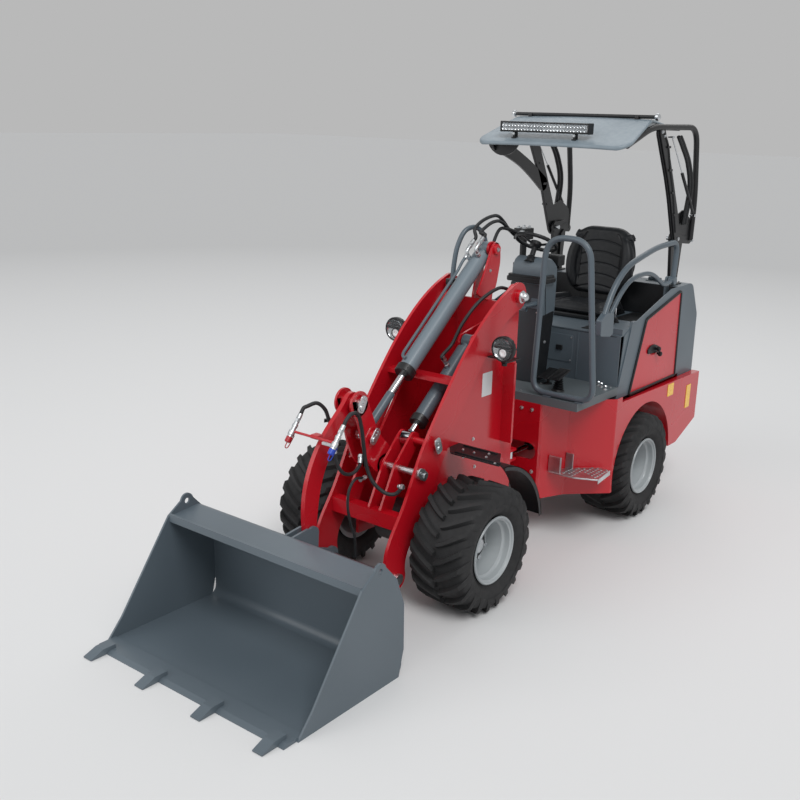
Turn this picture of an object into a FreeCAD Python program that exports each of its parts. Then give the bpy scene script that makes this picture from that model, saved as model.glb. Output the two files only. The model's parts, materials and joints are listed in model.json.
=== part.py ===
"""Compact articulated wheel loader with a general-purpose bucket.

Frame: X forward, Y to the loader's left, Z up, the ground at Z = 0.  Every piece is drawn
from the front axle's centre line (X = 0 at the axle, Y = 0 in the middle of the track) and
its Placement then shifts it so that the origin lies on the ground under the middle of the
whole machine.  Lengths are millimetres.
"""
import FreeCAD, Part
import math
import os
import re
from types import SimpleNamespace

import Sketcher
from FreeCAD import Placement, Rotation, Vector

os.makedirs("parts", exist_ok=True)
doc = FreeCAD.newDocument("WheelLoader")

# ---------------------------------------------------------------- driving dimensions
SIZES = (
    # wheels and axles
    ("tyre_diameter", 780, "over the tips of the tread lugs"),
    ("tyre_width", 386, "over the side walls"),
    ("tyre_wall", 16, "rubber thickness of the side walls"),
    ("tyre_tread", 34, "rubber thickness under the tread"),
    ("bead_diameter", 381, "bead seat of the rim"),
    ("flange_diameter", 416, "over the rim's flanges"),
    ("rim_width", 346, "over the rim's flanges"),
    ("rim_wall", 7, "sheet of the rim"),
    ("disc_inset", 95, "wheel disc behind the outer flange"),
    ("disc_thickness", 12, "plate of the wheel disc"),
    ("hub_radius", 88, "wheel hub"),
    ("track", 1040, "between the tyres' middles"),
    ("wheelbase", 2000, "between the axles"),
    ("axle_radius", 62, "axle tube"),
    ("differential_radius", 135, "axle housing in the middle"),
    ("running_gap", 0.3, "between faces that slide past each other"),
    ("pin_gap", 0.05, "between a pin and its bore, on the radius"),
    ("side_gap", 5, "between moving plates, side to side"),
    # bucket
    ("bucket_width", 1444, "over the side plates"),
    ("bucket_side", 12, "side plate thickness"),
    ("bucket_skin", 8, "floor and back plate thickness"),
    ("bucket_back", 898, "rear face of the back plate"),
    ("bucket_shoulder", 411, "height where the back plate leans forward"),
    ("bucket_lean", 7, "the back plate's lean up to the shoulder"),
    ("bucket_nape", 1000, "rear edge of the bucket's top"),
    ("bucket_top", 622, "height of the bucket's top edge"),
    ("bucket_brow", 1225, "front edge of the top strip"),
    ("bucket_heel_radius", 150, "bend between floor and back plate"),
    ("blade_seam", 1640, "rear edge of the cutting edge"),
    ("blade_front", 1775, "front edge of the cutting edge"),
    ("blade_thickness", 16, "cutting edge plate"),
    ("tooth_reach", 1875, "tip of the teeth"),
    ("tooth_width", 65, "width of a tooth"),
    ("tooth_pitch", 426, "between neighbouring teeth"),
    ("ear_radius", 45, "lifting ears on the bucket's sides"),
    ("ear_bore", 17, "radius of the hole in a lifting ear"),
    # linkage pivots, seen from the side
    ("boom_pivot_x", -790, "boom pivot on the tower"),
    ("boom_pivot_z", 1740, "boom pivot on the tower"),
    ("hitch_pin_x", 390, "bucket pivot at the boom's end"),
    ("hitch_pin_z", 220, "bucket pivot at the boom's end"),
    ("lift_pin_x", 60, "lift cylinder's rod eye"),
    ("lift_pin_z", 960, "lift cylinder's rod eye"),
    ("crank_pin_x", 200, "bellcrank pivot on the boom"),
    ("crank_pin_z", 818, "bellcrank pivot on the boom"),
    ("tilt_pin_x", 310, "tilt cylinder's rod eye"),
    ("tilt_pin_z", 1015, "tilt cylinder's rod eye"),
    ("link_pin_x", 430, "bellcrank to link"),
    ("link_pin_z", 1234, "bellcrank to link"),
    ("link_foot_x", 780, "link to bucket"),
    ("link_foot_z", 540, "link to bucket"),
    ("tilt_base_x", -900, "tilt cylinder's foot"),
    ("tilt_base_z", 2000, "tilt cylinder's foot"),
    ("lift_base_x", -546, "lift cylinder's foot"),
    ("lift_base_z", 1457, "lift cylinder's foot"),
    # boom
    ("boom_inner", 255, "half distance between the boom plates"),
    ("boom_plate", 20, "boom plate thickness"),
    ("pivot_boss", 88, "boom plate round its pivot"),
    ("toe_boss", 78, "boom plate round the bucket pivot"),
    ("pivot_radius", 30, "boom pivot pins"),
    ("pin_radius", 20, "linkage pins"),
    # bellcrank, link and cylinders
    ("link_plane", -60, "middle plane of link and tilt cylinder"),
    ("link_plate", 28, "link plate thickness"),
    ("crank_plate", 15, "bellcrank plate thickness"),
    ("crank_inner", 50, "half distance between the bellcrank plates"),
    ("lift_plane", 75, "middle plane of the lift cylinder"),
    ("lug_plate", 15, "lug thickness"),
    ("tilt_bore", 54, "outer radius of the tilt barrel"),
    ("tilt_rod", 23, "radius of the tilt rod"),
    ("tilt_barrel_length", 1095, "foot pin to the gland of the tilt barrel"),
    ("lift_bore", 46, "outer radius of the lift barrel"),
    ("lift_rod", 24, "radius of the lift rod"),
    ("lift_barrel_length", 674, "foot pin to the gland of the lift barrel"),
    ("eye_width", 60, "width of a cylinder's eye"),
    # tower on the front frame
    ("tower_inner", 225, "half distance between the tower plates"),
    ("tower_plate", 20, "tower plate thickness"),
    ("tower_back", -850, "rear face of the tower"),
    ("tower_foot", 290, "lower edge of the tower"),
    ("fender_edge", 710, "half width over the fenders"),
    ("fender_radius", 475, "front fenders, round the axle"),
    ("lamp_radius", 75, "working lamp"),
    ("lamp_side", 412, "working lamp's middle, to the side"),
    ("lamp_z", 1483, "working lamp's middle"),
    # steering cylinder
    ("steer_front", -915, "eye of the steering rod"),
    ("steer_base", 400, "foot of the steering cylinder, ahead of the rear axle"),
    ("steer_side", 190, "steering cylinder, to the left"),
    ("steer_height", 640, "steering cylinder's middle"),
    ("steer_eye", 50, "width of the steering cylinder's eyes"),
    ("steer_bore", 35, "outer radius of the steering barrel"),
    ("steer_rod", 16, "radius of the steering rod"),
    # rear frame and body
    ("nose_reach", 940, "front face of the rear frame, ahead of the rear axle"),
    ("nose_half", 330, "half width of the rear frame's front plate"),
    ("frame_plate", 20, "rear frame plates"),
    ("axle_floor", 300, "lower edge of the body's front quarters"),
    ("tail_plate", 75, "thickness of the tail weight"),
    ("body_half", 600, "half width of platform and side panels"),
    ("guard_flare", 55, "how far the mudguards stand out past the platform"),
    ("floor_top", 1040, "driver's floor"),
    ("floor_plate", 6, "floor plate"),
    ("floor_lip", 55, "rim round the floor"),
    ("floor_rear", 360, "rear edge of the driver's floor, ahead of the rear axle"),
    ("arch_radius", 470, "rear wheel arches"),
    ("cabinet_top", 1400, "seat cabinet"),
    ("deck_height", 1640, "deck behind the seat"),
    ("step_height", 455, "tread of the step"),
    ("step_half", 650, "outer edge of the step"),
    ("seat_half", 235, "half width of the seat"),
    ("wheel_x", 560, "steering wheel's middle, ahead of the rear axle"),
    ("wheel_z", 2015, "steering wheel's middle"),
    ("wheel_lean", 28, "degrees that the steering wheel leans back"),
    ("rail_x", -2430, "hinge of the side guard"),
    ("rail_z", 1700, "hinge of the side guard"),
    ("tail_reach", 980, "rearmost face, behind the rear axle"),
    ("tail_foot", 544, "lower edge of the tail"),
    ("panel_plate", 5, "body panels"),
    ("tube_radius", 20, "hand rails"),
    ("hood_front", 700, "front edge of the rear hood, behind the rear axle"),
    ("hood_gap", 4, "between the deck and the hood"),
    ("hinge_radius", 12, "knuckles of the hood's hinges"),
    ("hinge_pin", 5, "radius of the hood's hinge pins"),
    ("hinge_side", 330, "middle of each hinge of the hood, from the machine's middle"),
    # canopy
    ("roof_top", 2820, "canopy roof at its rear"),
    ("roof_drop", 140, "fall of the roof to its front edge"),
    ("roof_front", 520, "front edge of the roof, ahead of the rear axle"),
    ("roof_rear", 720, "rear edge of the roof, behind the rear axle"),
    ("roof_half", 600, "half width of the roof's front"),
    ("fold_back", 560, "hinge of the folding canopy, behind the rear axle"),
    ("fold_height", 1990, "hinge of the folding canopy"),
    ("roof_sheet", 12, "thickness of the roof"),
    ("post_half", 500, "half distance between the canopy's posts"),
    ("wheel_ring", 178, "steering wheel radius"),
)
ALIASES = {alias for alias, value, note in SIZES}

sizes = doc.addObject("Spreadsheet::Sheet", "Sizes")
for row, (alias, value, note) in enumerate(SIZES, start=1):
    sizes.set(f"A{row}", alias)
    sizes.set(f"B{row}", str(value))
    sizes.set(f"C{row}", note)
    sizes.setAlias(f"B{row}", alias)
doc.recompute()
d = SimpleNamespace(**{alias: float(getattr(sizes, alias)) for alias in ALIASES})

# places that several pieces share, as expressions of the sheet
AXLE = "tyre_diameter / 2"
REAR = "-wheelbase"
MIDDLE = "-wheelbase / 2"
SHIFT = "(wheelbase + tail_reach - tooth_reach) / 2"
TAIL = "-wheelbase - tail_reach"
NOSE = "nose_reach - wheelbase"
BOOM_OUTER = "boom_inner + boom_plate"
GUARD = "(body_half + guard_flare)"
TOWER_OUTER = "tower_inner + tower_plate"

shift = (d.wheelbase + d.tail_reach - d.tooth_reach) / 2
axle_z = d.tyre_diameter / 2
rear = -d.wheelbase
ACROSS = Rotation(Vector(1, 0, 0), -90)
nodes = []


# ---------------------------------------------------------------- building helpers
def ex(text):
    """The same expression with every alias read from the sheet."""
    def name(word):
        return f"Sizes.{word.group()}" if word.group() in ALIASES else word.group()
    return re.sub(r"[a-z][a-z_]*", name, str(text))


def node(piece, label, x="0", y=None, z=None):
    """Marks a piece as a sub-part of the machine and shifts it into the machine's frame."""
    piece.Label = label
    piece.setExpression("Placement.Base.x", ex(f"{SHIFT} + ({x})"))
    if y is not None:
        piece.setExpression("Placement.Base.y", ex(y))
    if z is not None:
        piece.setExpression("Placement.Base.z", ex(z))
    nodes.append(piece)
    return piece


def shape_node(shape, label):
    """A sub-part whose shape is drawn with Part's own functions."""
    piece = doc.addObject("Part::Feature", label)
    piece.Shape = shape
    piece.Placement = Placement(Vector(), Rotation())
    return node(piece, label)


def feature(shape, name):
    """A piece drawn with Part's own functions, to be joined to others."""
    piece = doc.addObject("Part::Feature", name)
    piece.Shape = shape
    return piece


def box(name, x, y, z):
    """A block between two expressions along X, Y and Z."""
    block = doc.addObject("Part::Box", name)
    for size, base, (low, high) in (("Length", "x", x), ("Width", "y", y), ("Height", "z", z)):
        block.setExpression(size, ex(f"({high}) - ({low})"))
        block.setExpression(f"Placement.Base.{base}", ex(low))
    return block


def pin(name, radius, x, z, y):
    """A round bar across the machine, between two places along Y."""
    bar = doc.addObject("Part::Cylinder", name)
    bar.Placement = Placement(Vector(), ACROSS)
    bar.setExpression("Radius", ex(radius))
    bar.setExpression("Height", ex(f"({y[1]}) - ({y[0]})"))
    for base, place in (("x", x), ("y", y[0]), ("z", z)):
        bar.setExpression(f"Placement.Base.{base}", ex(place))
    return bar


def post(name, radius, x, y, z):
    """An upright round bar between two heights."""
    bar = doc.addObject("Part::Cylinder", name)
    bar.setExpression("Radius", ex(radius))
    bar.setExpression("Height", ex(f"({z[1]}) - ({z[0]})"))
    for base, place in (("x", x), ("y", y), ("z", z[0])):
        bar.setExpression(f"Placement.Base.{base}", ex(place))
    return bar


def fuse(name, *pieces):
    """Pieces joined into one."""
    joined = doc.addObject("Part::MultiFuse", name)
    joined.Shapes = list(pieces)
    return joined


def cut(name, base, *tools):
    """A piece with others cut out of it."""
    result = doc.addObject("Part::Cut", name)
    result.Base = base
    result.Tool = tools[0] if len(tools) == 1 else fuse(name + "_tools", *tools)
    return result


def mirrored(piece):
    """The same piece on the machine's other side."""
    twin = doc.addObject("Part::Mirroring", piece.Name + "_mirrored")
    twin.Source = piece
    twin.Normal = Vector(0, 1, 0)
    return twin


def both(name, piece):
    """A piece and its mirror image."""
    return fuse(name, piece, mirrored(piece))


def outline_sketch(body, plane, outline, holes=()):
    """A closed outline of straight lines whose corners are bound to expressions."""
    sketch = body.newObject("Sketcher::SketchObject", body.Name + "_outline")
    origin_plane = next(part for part in body.Origin.OriginFeatures if part.Role == plane)
    sketch.AttachmentSupport = [(origin_plane, "")]
    sketch.MapMode = "FlatFace"
    count = len(outline)
    ring = [Vector(math.cos(2 * math.pi * n / count), math.sin(2 * math.pi * n / count), 0)
            for n in range(count)]
    for n in range(count):
        sketch.addGeometry(Part.LineSegment(ring[n], ring[(n + 1) % count]))
    for n in range(count):
        sketch.addConstraint(Sketcher.Constraint("Coincident", n, 2, (n + 1) % count, 1))
    for n, corner in enumerate(outline):
        for kind, place, start in zip(("DistanceX", "DistanceY"), corner, ring[n]):
            index = sketch.addConstraint(Sketcher.Constraint(kind, -1, 1, n, 1, start))
            sketch.setExpression(f"Constraints[{index}]", ex(place))
    for n, (x, z, radius) in enumerate(holes):
        circle = Part.Circle(Vector(n + 3, 0, 0), Vector(0, 0, 1), 1)
        index = sketch.addGeometry(circle)
        for kind, place, start in (("DistanceX", x, n + 3), ("DistanceY", z, 0)):
            bound = sketch.addConstraint(Sketcher.Constraint(kind, -1, 1, index, 3, start))
            sketch.setExpression(f"Constraints[{bound}]", ex(place))
        bound = sketch.addConstraint(Sketcher.Constraint("Radius", index, 1))
        sketch.setExpression(f"Constraints[{bound}]", ex(radius))
    return sketch


def rounded(body, points, radius):
    """Rounds the edges of the body that pass through the points."""
    doc.recompute()
    base = body.Tip
    marks = [Part.Vertex(point) for point in points]
    edges = [f"Edge{n}" for n, edge in enumerate(base.Shape.Edges, start=1)
             if any(edge.distToShape(mark)[0] < 0.01 for mark in marks)]
    fillet = body.newObject("PartDesign::Fillet", body.Name + "_rounding")
    fillet.Base = (base, edges)
    fillet.setExpression("Radius", ex(radius))
    body.Tip = fillet


def plate(name, outline, y, rounds=None, holes=()):
    """A flat plate across the machine, cut to an outline of (x, z) corners.

    rounds gives the corner numbers to be rounded, under each radius.
    """
    body = doc.addObject("PartDesign::Body", name)
    sketch = outline_sketch(body, "XZ_Plane", outline, holes)
    sketch.setExpression("AttachmentOffset.Base.z", ex(f"-({y[0]})"))
    pad = body.newObject("PartDesign::Pad", name + "_pad")
    pad.Profile = sketch
    pad.Reversed = True
    pad.setExpression("Length", ex(f"({y[1]}) - ({y[0]})"))
    body.Tip = pad
    for radius, corners in (rounds or {}).items():
        doc.recompute()
        middle = (pad.Shape.BoundBox.YMin + pad.Shape.BoundBox.YMax) / 2
        starts = [sketch.Geometry[n].StartPoint for n in corners]
        rounded(body, [Vector(start.x, middle, start.y) for start in starts], radius)
    return body


def turned(name, outline, rounds=None):
    """A body of revolution about its own Y axis, from an outline of (radius, y) corners."""
    body = doc.addObject("PartDesign::Body", name)
    sketch = outline_sketch(body, "XY_Plane", outline)
    turn = body.newObject("PartDesign::Revolution", name + "_turn")
    turn.Profile = sketch
    turn.ReferenceAxis = (sketch, ["V_Axis"])
    turn.Angle = 360
    body.Tip = turn
    for radius, corners in (rounds or {}).items():
        doc.recompute()
        starts = [sketch.Geometry[n].StartPoint for n in corners]
        rounded(body, [Vector(0, start.y, start.x) for start in starts], radius)
    return body


def rounded_path(points, bend):
    """Edges of straight runs between the points, joined by tangent arcs of the bend's radius."""
    points = [Vector(*point) for point in points]
    edges = []
    start = points[0]
    for before, corner, after in zip(points, points[1:], points[2:]):
        back = (before - corner).normalize()
        ahead = (after - corner).normalize()
        half = back.getAngle(ahead) / 2
        reach = bend / math.tan(half)
        middle = (back + ahead).normalize()
        centre = corner + middle * (bend / math.sin(half))
        edges.append(Part.makeLine(start, corner + back * reach))
        edges.append(Part.Arc(corner + back * reach, centre - middle * bend, corner + ahead * reach).toShape())
        start = corner + ahead * reach
    edges.append(Part.makeLine(start, points[-1]))
    return Part.Wire(edges)


def tube(points, radius, bend):
    """A round tube along straight runs joined by bends."""
    path = rounded_path(points, bend)
    start = Vector(*points[0])
    way = Vector(*points[1]) - start
    ring = Part.Wire(Part.makeCircle(radius, start, way))
    return path.makePipeShell([ring], True, True)


def bent(points, bend, thickness, y):
    """Sheet metal across the machine, bent along a path of (x, z) points.

    With X to the right and Z up, the sheet lies to the left of the path's way, or to its
    right where the thickness is negative.
    """
    path = rounded_path([(x, 0, z) for x, z in points], bend)
    face = path.makeOffset2D(thickness, fill=True, openResult=True, join=2)
    face.translate(Vector(0, y[0], 0))
    return face.extrude(Vector(0, y[1] - y[0], 0))


def band(stations, start, end, start_radius, end_radius, y):
    """A plate of changing width between two pivots, with a round end at each.

    Each station is a fraction of the way from start to end, a rise above the line between
    them and half of the plate's width there.  Splines run along both edges.
    """
    start, end = Vector(start[0], 0, start[1]), Vector(end[0], 0, end[1])
    span = (end - start).Length
    way = (end - start).normalize()
    up = Vector(-way.z, 0, way.x)
    table = [(0, 0, start_radius), *stations, (1, 0, end_radius)]
    middles = [start + way * (share * span) + up * rise for share, rise, half in table]
    upper, lower = [], []
    for n, (share, rise, half) in enumerate(table):
        before, after = middles[max(n - 1, 0)], middles[min(n + 1, len(table) - 1)]
        along = (after - before).normalize()
        across = Vector(-along.z, 0, along.x)
        upper.append(middles[n] + across * half)
        lower.append(middles[n] - across * half)
    edges = []
    for points in (upper, lower):
        curve = Part.BSplineCurve()
        curve.interpolate(points)
        edges.append(curve.toShape())
    edges.append(Part.makeLine(upper[0], lower[0]))
    edges.append(Part.makeLine(upper[-1], lower[-1]))
    face = Part.Face(Part.Wire(Part.__sortEdges__(edges)))
    depth = Vector(0, y[1] - y[0], 0)
    face.translate(Vector(0, y[0], 0))
    solid = face.extrude(depth)
    for centre, radius in ((start, start_radius), (end, end_radius)):
        disc = Part.makeCylinder(radius, abs(depth.y), centre + Vector(0, min(y), 0), Vector(0, 1, 0))
        solid = solid.fuse(disc)
    return solid.removeSplitter()


# ---------------------------------------------------------------- wheels and axles
def wheel(place, x, side):
    """One wheel: a pressed rim with its disc and hub, and a hollow tyre on it."""
    half = "rim_width / 2"
    disc = f"{half} - disc_inset"
    hub_face = "hub_radius - 47.7"
    well = "bead_diameter / 2 - 25"
    seat = "bead_diameter / 2"
    flange = "flange_diameter / 2"
    rim = turned(f"rim_{place}", [
        ("0", hub_face), ("hub_radius", hub_face), ("hub_radius", f"{disc} - disc_thickness"),
        (f"{well} - rim_wall", f"{disc} - disc_thickness"), (f"{well} - rim_wall", "-35"),
        (f"{seat} - rim_wall", "-62"), (f"{seat} - rim_wall", f"-{half}"),
        (flange, f"-{half}"), (flange, f"-{half} + 10"), (seat, f"-{half} + 10"),
        (seat, "-68"), (well, "-40"), (well, "95"), (seat, "118"), (seat, f"{half} - 10"),
        (flange, f"{half} - 10"), (flange, half), (f"{seat} - rim_wall", half),
        (f"{seat} - rim_wall", "125"), (f"{well} - rim_wall", "100"), (f"{well} - rim_wall", disc),
        ("hub_radius + 16", disc), ("hub_radius", f"{disc} + 10"), ("60", f"{disc} + 10"),
        ("60", f"{disc} + 32"), ("0", f"{disc} + 32")])
    bead = f"{seat} + running_gap"
    inside = f"{half} - 10 - running_gap"
    wall = "tyre_width / 2"
    crown = "tyre_diameter / 2"
    half_outline = [
        (bead, f"{inside} - 28"), (bead, inside), (f"{flange} + 4", inside),
        (f"{flange} + 30", wall), (f"{flange} + 105", wall), (f"{crown} - 14", f"{wall} - 22"),
        (crown, f"{wall} - 50")]
    half_inside = [
        (f"{crown} - tyre_tread", f"{wall} - 60"), (f"{flange} + 105", f"{wall} - tyre_wall"),
        (f"{flange} + 36", f"{wall} - tyre_wall"), (f"{flange} + 6", f"{inside} - 28")]
    outline = half_outline + [(r, f"-({w})") for r, w in reversed(half_outline)]
    outline += [(r, f"-({w})") for r, w in reversed(half_inside)] + half_inside
    tyre = turned(f"tyre_{place}", outline)
    for piece, label in ((rim, f"rim_{place}"), (tyre, f"tyre_{place}")):
        if side < 0:
            piece.Placement = Placement(Vector(), Rotation(Vector(0, 0, 1), 180))
        node(piece, label, x, f"{side} * track / 2", AXLE)


for side, hand in ((1, "left"), (-1, "right")):
    wheel(f"front_{hand}", "0", side)
    wheel(f"rear_{hand}", REAR, side)


def axle(label, x):
    """A rigid axle: a tube with a flange at each wheel and the drive's housing in the middle."""
    end = "track / 2 + hub_radius - 48"
    tube_bar = pin(f"{label}_tube", "axle_radius", x, AXLE, (f"-({end})", end))
    housing = pin(f"{label}_housing", "differential_radius", x, AXLE, ("-110", "110"))
    flange = pin(f"{label}_flange", "hub_radius", x, AXLE, (f"{end} - 18", end))
    node(fuse(label, tube_bar, housing, both(f"{label}_flanges", flange)), label)


axle("front_axle", "0")
axle("rear_axle", REAR)


# ---------------------------------------------------------------- bucket
BUCKET_BACK = [(d.blade_seam, 0), (d.bucket_back, 0), (d.bucket_back + d.bucket_lean, d.bucket_shoulder),
               (d.bucket_nape, d.bucket_top), (d.bucket_brow, d.bucket_top - 18)]


def bucket():
    """Floor, heel and back bent from one sheet, between two side plates with lifting ears."""
    inner = d.bucket_width / 2 - d.bucket_side
    shell = feature(bent(BUCKET_BACK, 60, -d.bucket_skin, (-inner, inner)), "bucket_skin_sheet")
    brow = box("bucket_lip", ("bucket_brow - 2", "bucket_brow + 16"),
               ("-bucket_width / 2 + bucket_side", "bucket_width / 2 - bucket_side"),
               ("bucket_top - 50", "bucket_top - 6"))
    ear_x, ear_z = "bucket_brow - 119", "bucket_top + 37"
    side_y = ("bucket_width / 2 - bucket_side", "bucket_width / 2")
    side = plate("bucket_side_plate", [
        ("bucket_back + 37", "0"), ("blade_seam + 50", "0"), ("blade_seam - 51", "114"),
        ("bucket_brow + 18", "bucket_top - 17"), (f"{ear_x} + 43", f"{ear_z} + 10"),
        (f"{ear_x} - 43", f"{ear_z} + 12"), ("bucket_nape - 29", "bucket_top - 47"),
        ("bucket_back + bucket_lean", "bucket_shoulder"), ("bucket_back", "bucket_heel_radius")], side_y)
    ear = pin("bucket_ear", "ear_radius", ear_x, ear_z, side_y)
    bore = pin("bucket_ear_bore", "ear_bore", ear_x, ear_z, ("0", "bucket_width"))
    sides = both("bucket_sides", cut("bucket_side", fuse("bucket_eared_side", side, ear), bore))
    node(fuse("bucket", shell, brow, sides), "bucket")


def cutting_edge():
    """The blade across the bucket's mouth with four flat teeth welded under it."""
    half = "bucket_width / 2"
    blade = plate("blade_plate", [
        ("blade_seam", "0"), ("blade_front", "0"), ("blade_front", "5"),
        ("blade_front - 30", "blade_thickness"), ("blade_seam", "blade_thickness")],
        (f"-{half} + bucket_side", f"{half} - bucket_side"))
    pieces = [blade]
    for n in range(4):
        middle = f"(tooth_pitch * {n - 1.5})"
        pieces.append(plate(f"tooth_{n + 1}", [
            ("blade_front - 60", "blade_thickness"), ("blade_front - 60", "blade_thickness + 22"),
            ("blade_front + 20", "blade_thickness + 22"), ("tooth_reach", "8"),
            ("tooth_reach", "2"), ("blade_front", "2"), ("blade_front", "6"),
            ("blade_front - 30", "blade_thickness")],
            (f"{middle} - tooth_width / 2", f"{middle} + tooth_width / 2")))
    node(fuse("cutting_edge", *pieces), "cutting_edge")


def hitch_frame():
    """The welded hanger behind the bucket: two side plates, cross tubes and the link's ears."""
    outer = "boom_inner - side_gap"
    back = "bucket_back + bucket_lean"
    low_back = "bucket_back + bucket_lean * 90 / bucket_shoulder"
    high_back = "bucket_back + bucket_lean * (1 - 80 / bucket_shoulder)"
    side = plate("hitch_side", [
        ("hitch_pin_x - 30", "hitch_pin_z - 45"), (low_back, "90"),
        (back, "bucket_shoulder"), ("bucket_back - 90", "bucket_shoulder"),
        ("hitch_pin_x + 20", "hitch_pin_z + 52")], (f"{outer} - 20", outer))
    eye = pin("hitch_eye", "55", "hitch_pin_x", "hitch_pin_z", (f"{outer} - 20", outer))
    sides = both("hitch_sides", fuse("hitch_side_eyed", side, eye))
    low_tube = pin("hitch_low_tube", "38", "bucket_back - 60", "180", (f"-({outer})", outer))
    high_bar = box("hitch_high_bar", ("bucket_back - 80", high_back),
                   (f"-({outer})", outer), ("bucket_shoulder - 80", "bucket_shoulder"))
    slope = f"(bucket_nape - ({back})) / (bucket_top - bucket_shoulder)"
    ear_outline = [("bucket_back - 80", "bucket_shoulder - 40"), ("bucket_back", "bucket_shoulder - 40"),
                   (back, "bucket_shoulder"),
                   (f"bucket_nape - 53 * {slope}", "bucket_top - 53"),
                   ("link_foot_x + 40", "link_foot_z + 45"), ("link_foot_x - 45", "link_foot_z"),
                   ("link_foot_x - 40", "bucket_shoulder - 20")]
    reach = "link_plate / 2 + side_gap"
    ears = []
    for name, low, high in (("near", reach, f"{reach} + lug_plate"),
                            ("far", f"-({reach} + lug_plate)", f"-({reach})")):
        depth = (f"link_plane + ({low})", f"link_plane + ({high})")
        ears.append(plate(f"hitch_ear_{name}", ear_outline, depth))
        ears.append(pin(f"hitch_ear_end_{name}", "46", "link_foot_x", "link_foot_z", depth))
    bore = pin("hitch_bore", "pin_radius + pin_gap", "hitch_pin_x", "hitch_pin_z", ("-400", "400"))
    node(cut("hitch_frame", fuse("hitch_blank", sides, low_tube, high_bar, *ears), bore), "hitch_frame")


bucket()
cutting_edge()
hitch_frame()

# ---------------------------------------------------------------- boom
BOOM_STATIONS = ((0.10, 103, 88), (0.27, 170, 100), (0.53, 175, 113), (0.64, 162, 117),
                 (0.82, 113, 109), (0.94, 100, 98))


def boom():
    """Two curved plates joined by a lower tie, an upper tie and the inner lugs of the pivots."""
    outer = d.boom_inner + d.boom_plate
    side = feature(band(BOOM_STATIONS, (d.boom_pivot_x, d.boom_pivot_z),
                        (d.hitch_pin_x, d.hitch_pin_z), d.pivot_boss, d.toe_boss,
                        (d.boom_inner, outer)), "boom_side")
    sides = both("boom_sides", side)
    low_tie = box("boom_low_tie", ("crank_pin_x + 100", "crank_pin_x + 170"),
                  ("-boom_inner - 1", "boom_inner + 1"), ("crank_pin_z - 318", "crank_pin_z - 228"))
    high_tie = box("boom_high_tie", ("lift_pin_x - 295", "lift_pin_x - 205"),
                   ("-boom_inner - 1", "boom_inner + 1"), ("lift_pin_z + 315", "lift_pin_z + 345"))
    lug_outline = [
        ("crank_pin_x + 100", "crank_pin_z - 318"), ("crank_pin_x + 170", "crank_pin_z - 298"),
        ("crank_pin_x + 170", "crank_pin_z - 218"), ("crank_pin_x + 42", "crank_pin_z + 28"),
        ("lift_pin_x + 40", "lift_pin_z + 30"), ("lift_pin_x - 38", "lift_pin_z - 32"),
        ("crank_pin_x - 50", "crank_pin_z - 43"), ("crank_pin_x + 25", "crank_pin_z - 178")]
    gap = "(eye_width / 2 + side_gap)"
    lugs = []
    for name, low in (("near", f"lift_plane + {gap}"), ("far", f"lift_plane - {gap} - lug_plate")):
        depth = (low, f"{low} + lug_plate")
        lugs.append(plate(f"boom_lug_{name}", lug_outline, depth))
        lugs.append(pin(f"boom_lug_lift_eye_{name}", "48", "lift_pin_x", "lift_pin_z", depth))
        lugs.append(pin(f"boom_lug_crank_eye_{name}", "50", "crank_pin_x", "crank_pin_z", depth))
    reach = "crank_inner + crank_plate + side_gap"
    depth = (f"link_plane - ({reach}) - lug_plate", f"link_plane - ({reach})")
    lugs.append(plate("boom_lug_outer", lug_outline[:4] + lug_outline[6:], depth))
    lugs.append(pin("boom_lug_outer_eye", "50", "crank_pin_x", "crank_pin_z", depth))
    lift_stub = pin("boom_lift_stub", "pin_radius", "lift_pin_x", "lift_pin_z",
                    (f"lift_plane + {gap}", f"{BOOM_OUTER} + 22"))
    blank = fuse("boom_blank", sides, low_tie, high_tie, *lugs, lift_stub)
    pivot = pin("boom_pivot_bore", "pivot_radius + pin_gap", "boom_pivot_x", "boom_pivot_z", ("-400", "400"))
    crank = pin("boom_crank_bore", "pin_radius + pin_gap", "crank_pin_x", "crank_pin_z", ("-400", "400"))
    toe = pin("boom_toe_bore", "pin_radius + pin_gap", "hitch_pin_x", "hitch_pin_z", ("-400", "400"))
    node(cut("boom", blank, pivot, crank, toe), "boom")


boom()


def linkage_pins():
    """The turning pins of the bucket, the bellcrank and the link, each with its head."""
    outside = f"{BOOM_OUTER} + running_gap"
    hitch = pin("hitch_shaft", "pin_radius", "hitch_pin_x", "hitch_pin_z", (f"-({outside})", outside))
    hitch_head = pin("hitch_head", "pin_radius + 14", "hitch_pin_x", "hitch_pin_z",
                     (outside, f"{outside} + 20"))
    node(fuse("hitch_pin", hitch, both("hitch_heads", hitch_head)), "hitch_pin")
    far = "link_plane - (crank_inner + crank_plate + side_gap) - lug_plate - running_gap"
    crank = pin("crank_shaft", "pin_radius", "crank_pin_x", "crank_pin_z", (far, outside))
    crank_head = pin("crank_head", "pin_radius + 14", "crank_pin_x", "crank_pin_z",
                     (outside, f"{outside} + 20"))
    crank_stop = pin("crank_stop", "pin_radius + 10", "crank_pin_x", "crank_pin_z",
                     (f"{far} - 12", far))
    node(fuse("crank_pin", crank, crank_head, crank_stop), "crank_pin")
    reach = "crank_inner + crank_plate + running_gap"
    ends = (f"link_plane - ({reach})", f"link_plane + ({reach})")
    link = pin("link_shaft", "pin_radius", "link_pin_x", "link_pin_z", ends)
    heads = [pin("link_head_far", "pin_radius + 14", "link_pin_x", "link_pin_z",
                 (f"{ends[0]} - 16", ends[0])),
             pin("link_head_near", "pin_radius + 14", "link_pin_x", "link_pin_z",
                 (ends[1], f"{ends[1]} + 16"))]
    node(fuse("link_pin", link, *heads), "link_pin")


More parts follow.
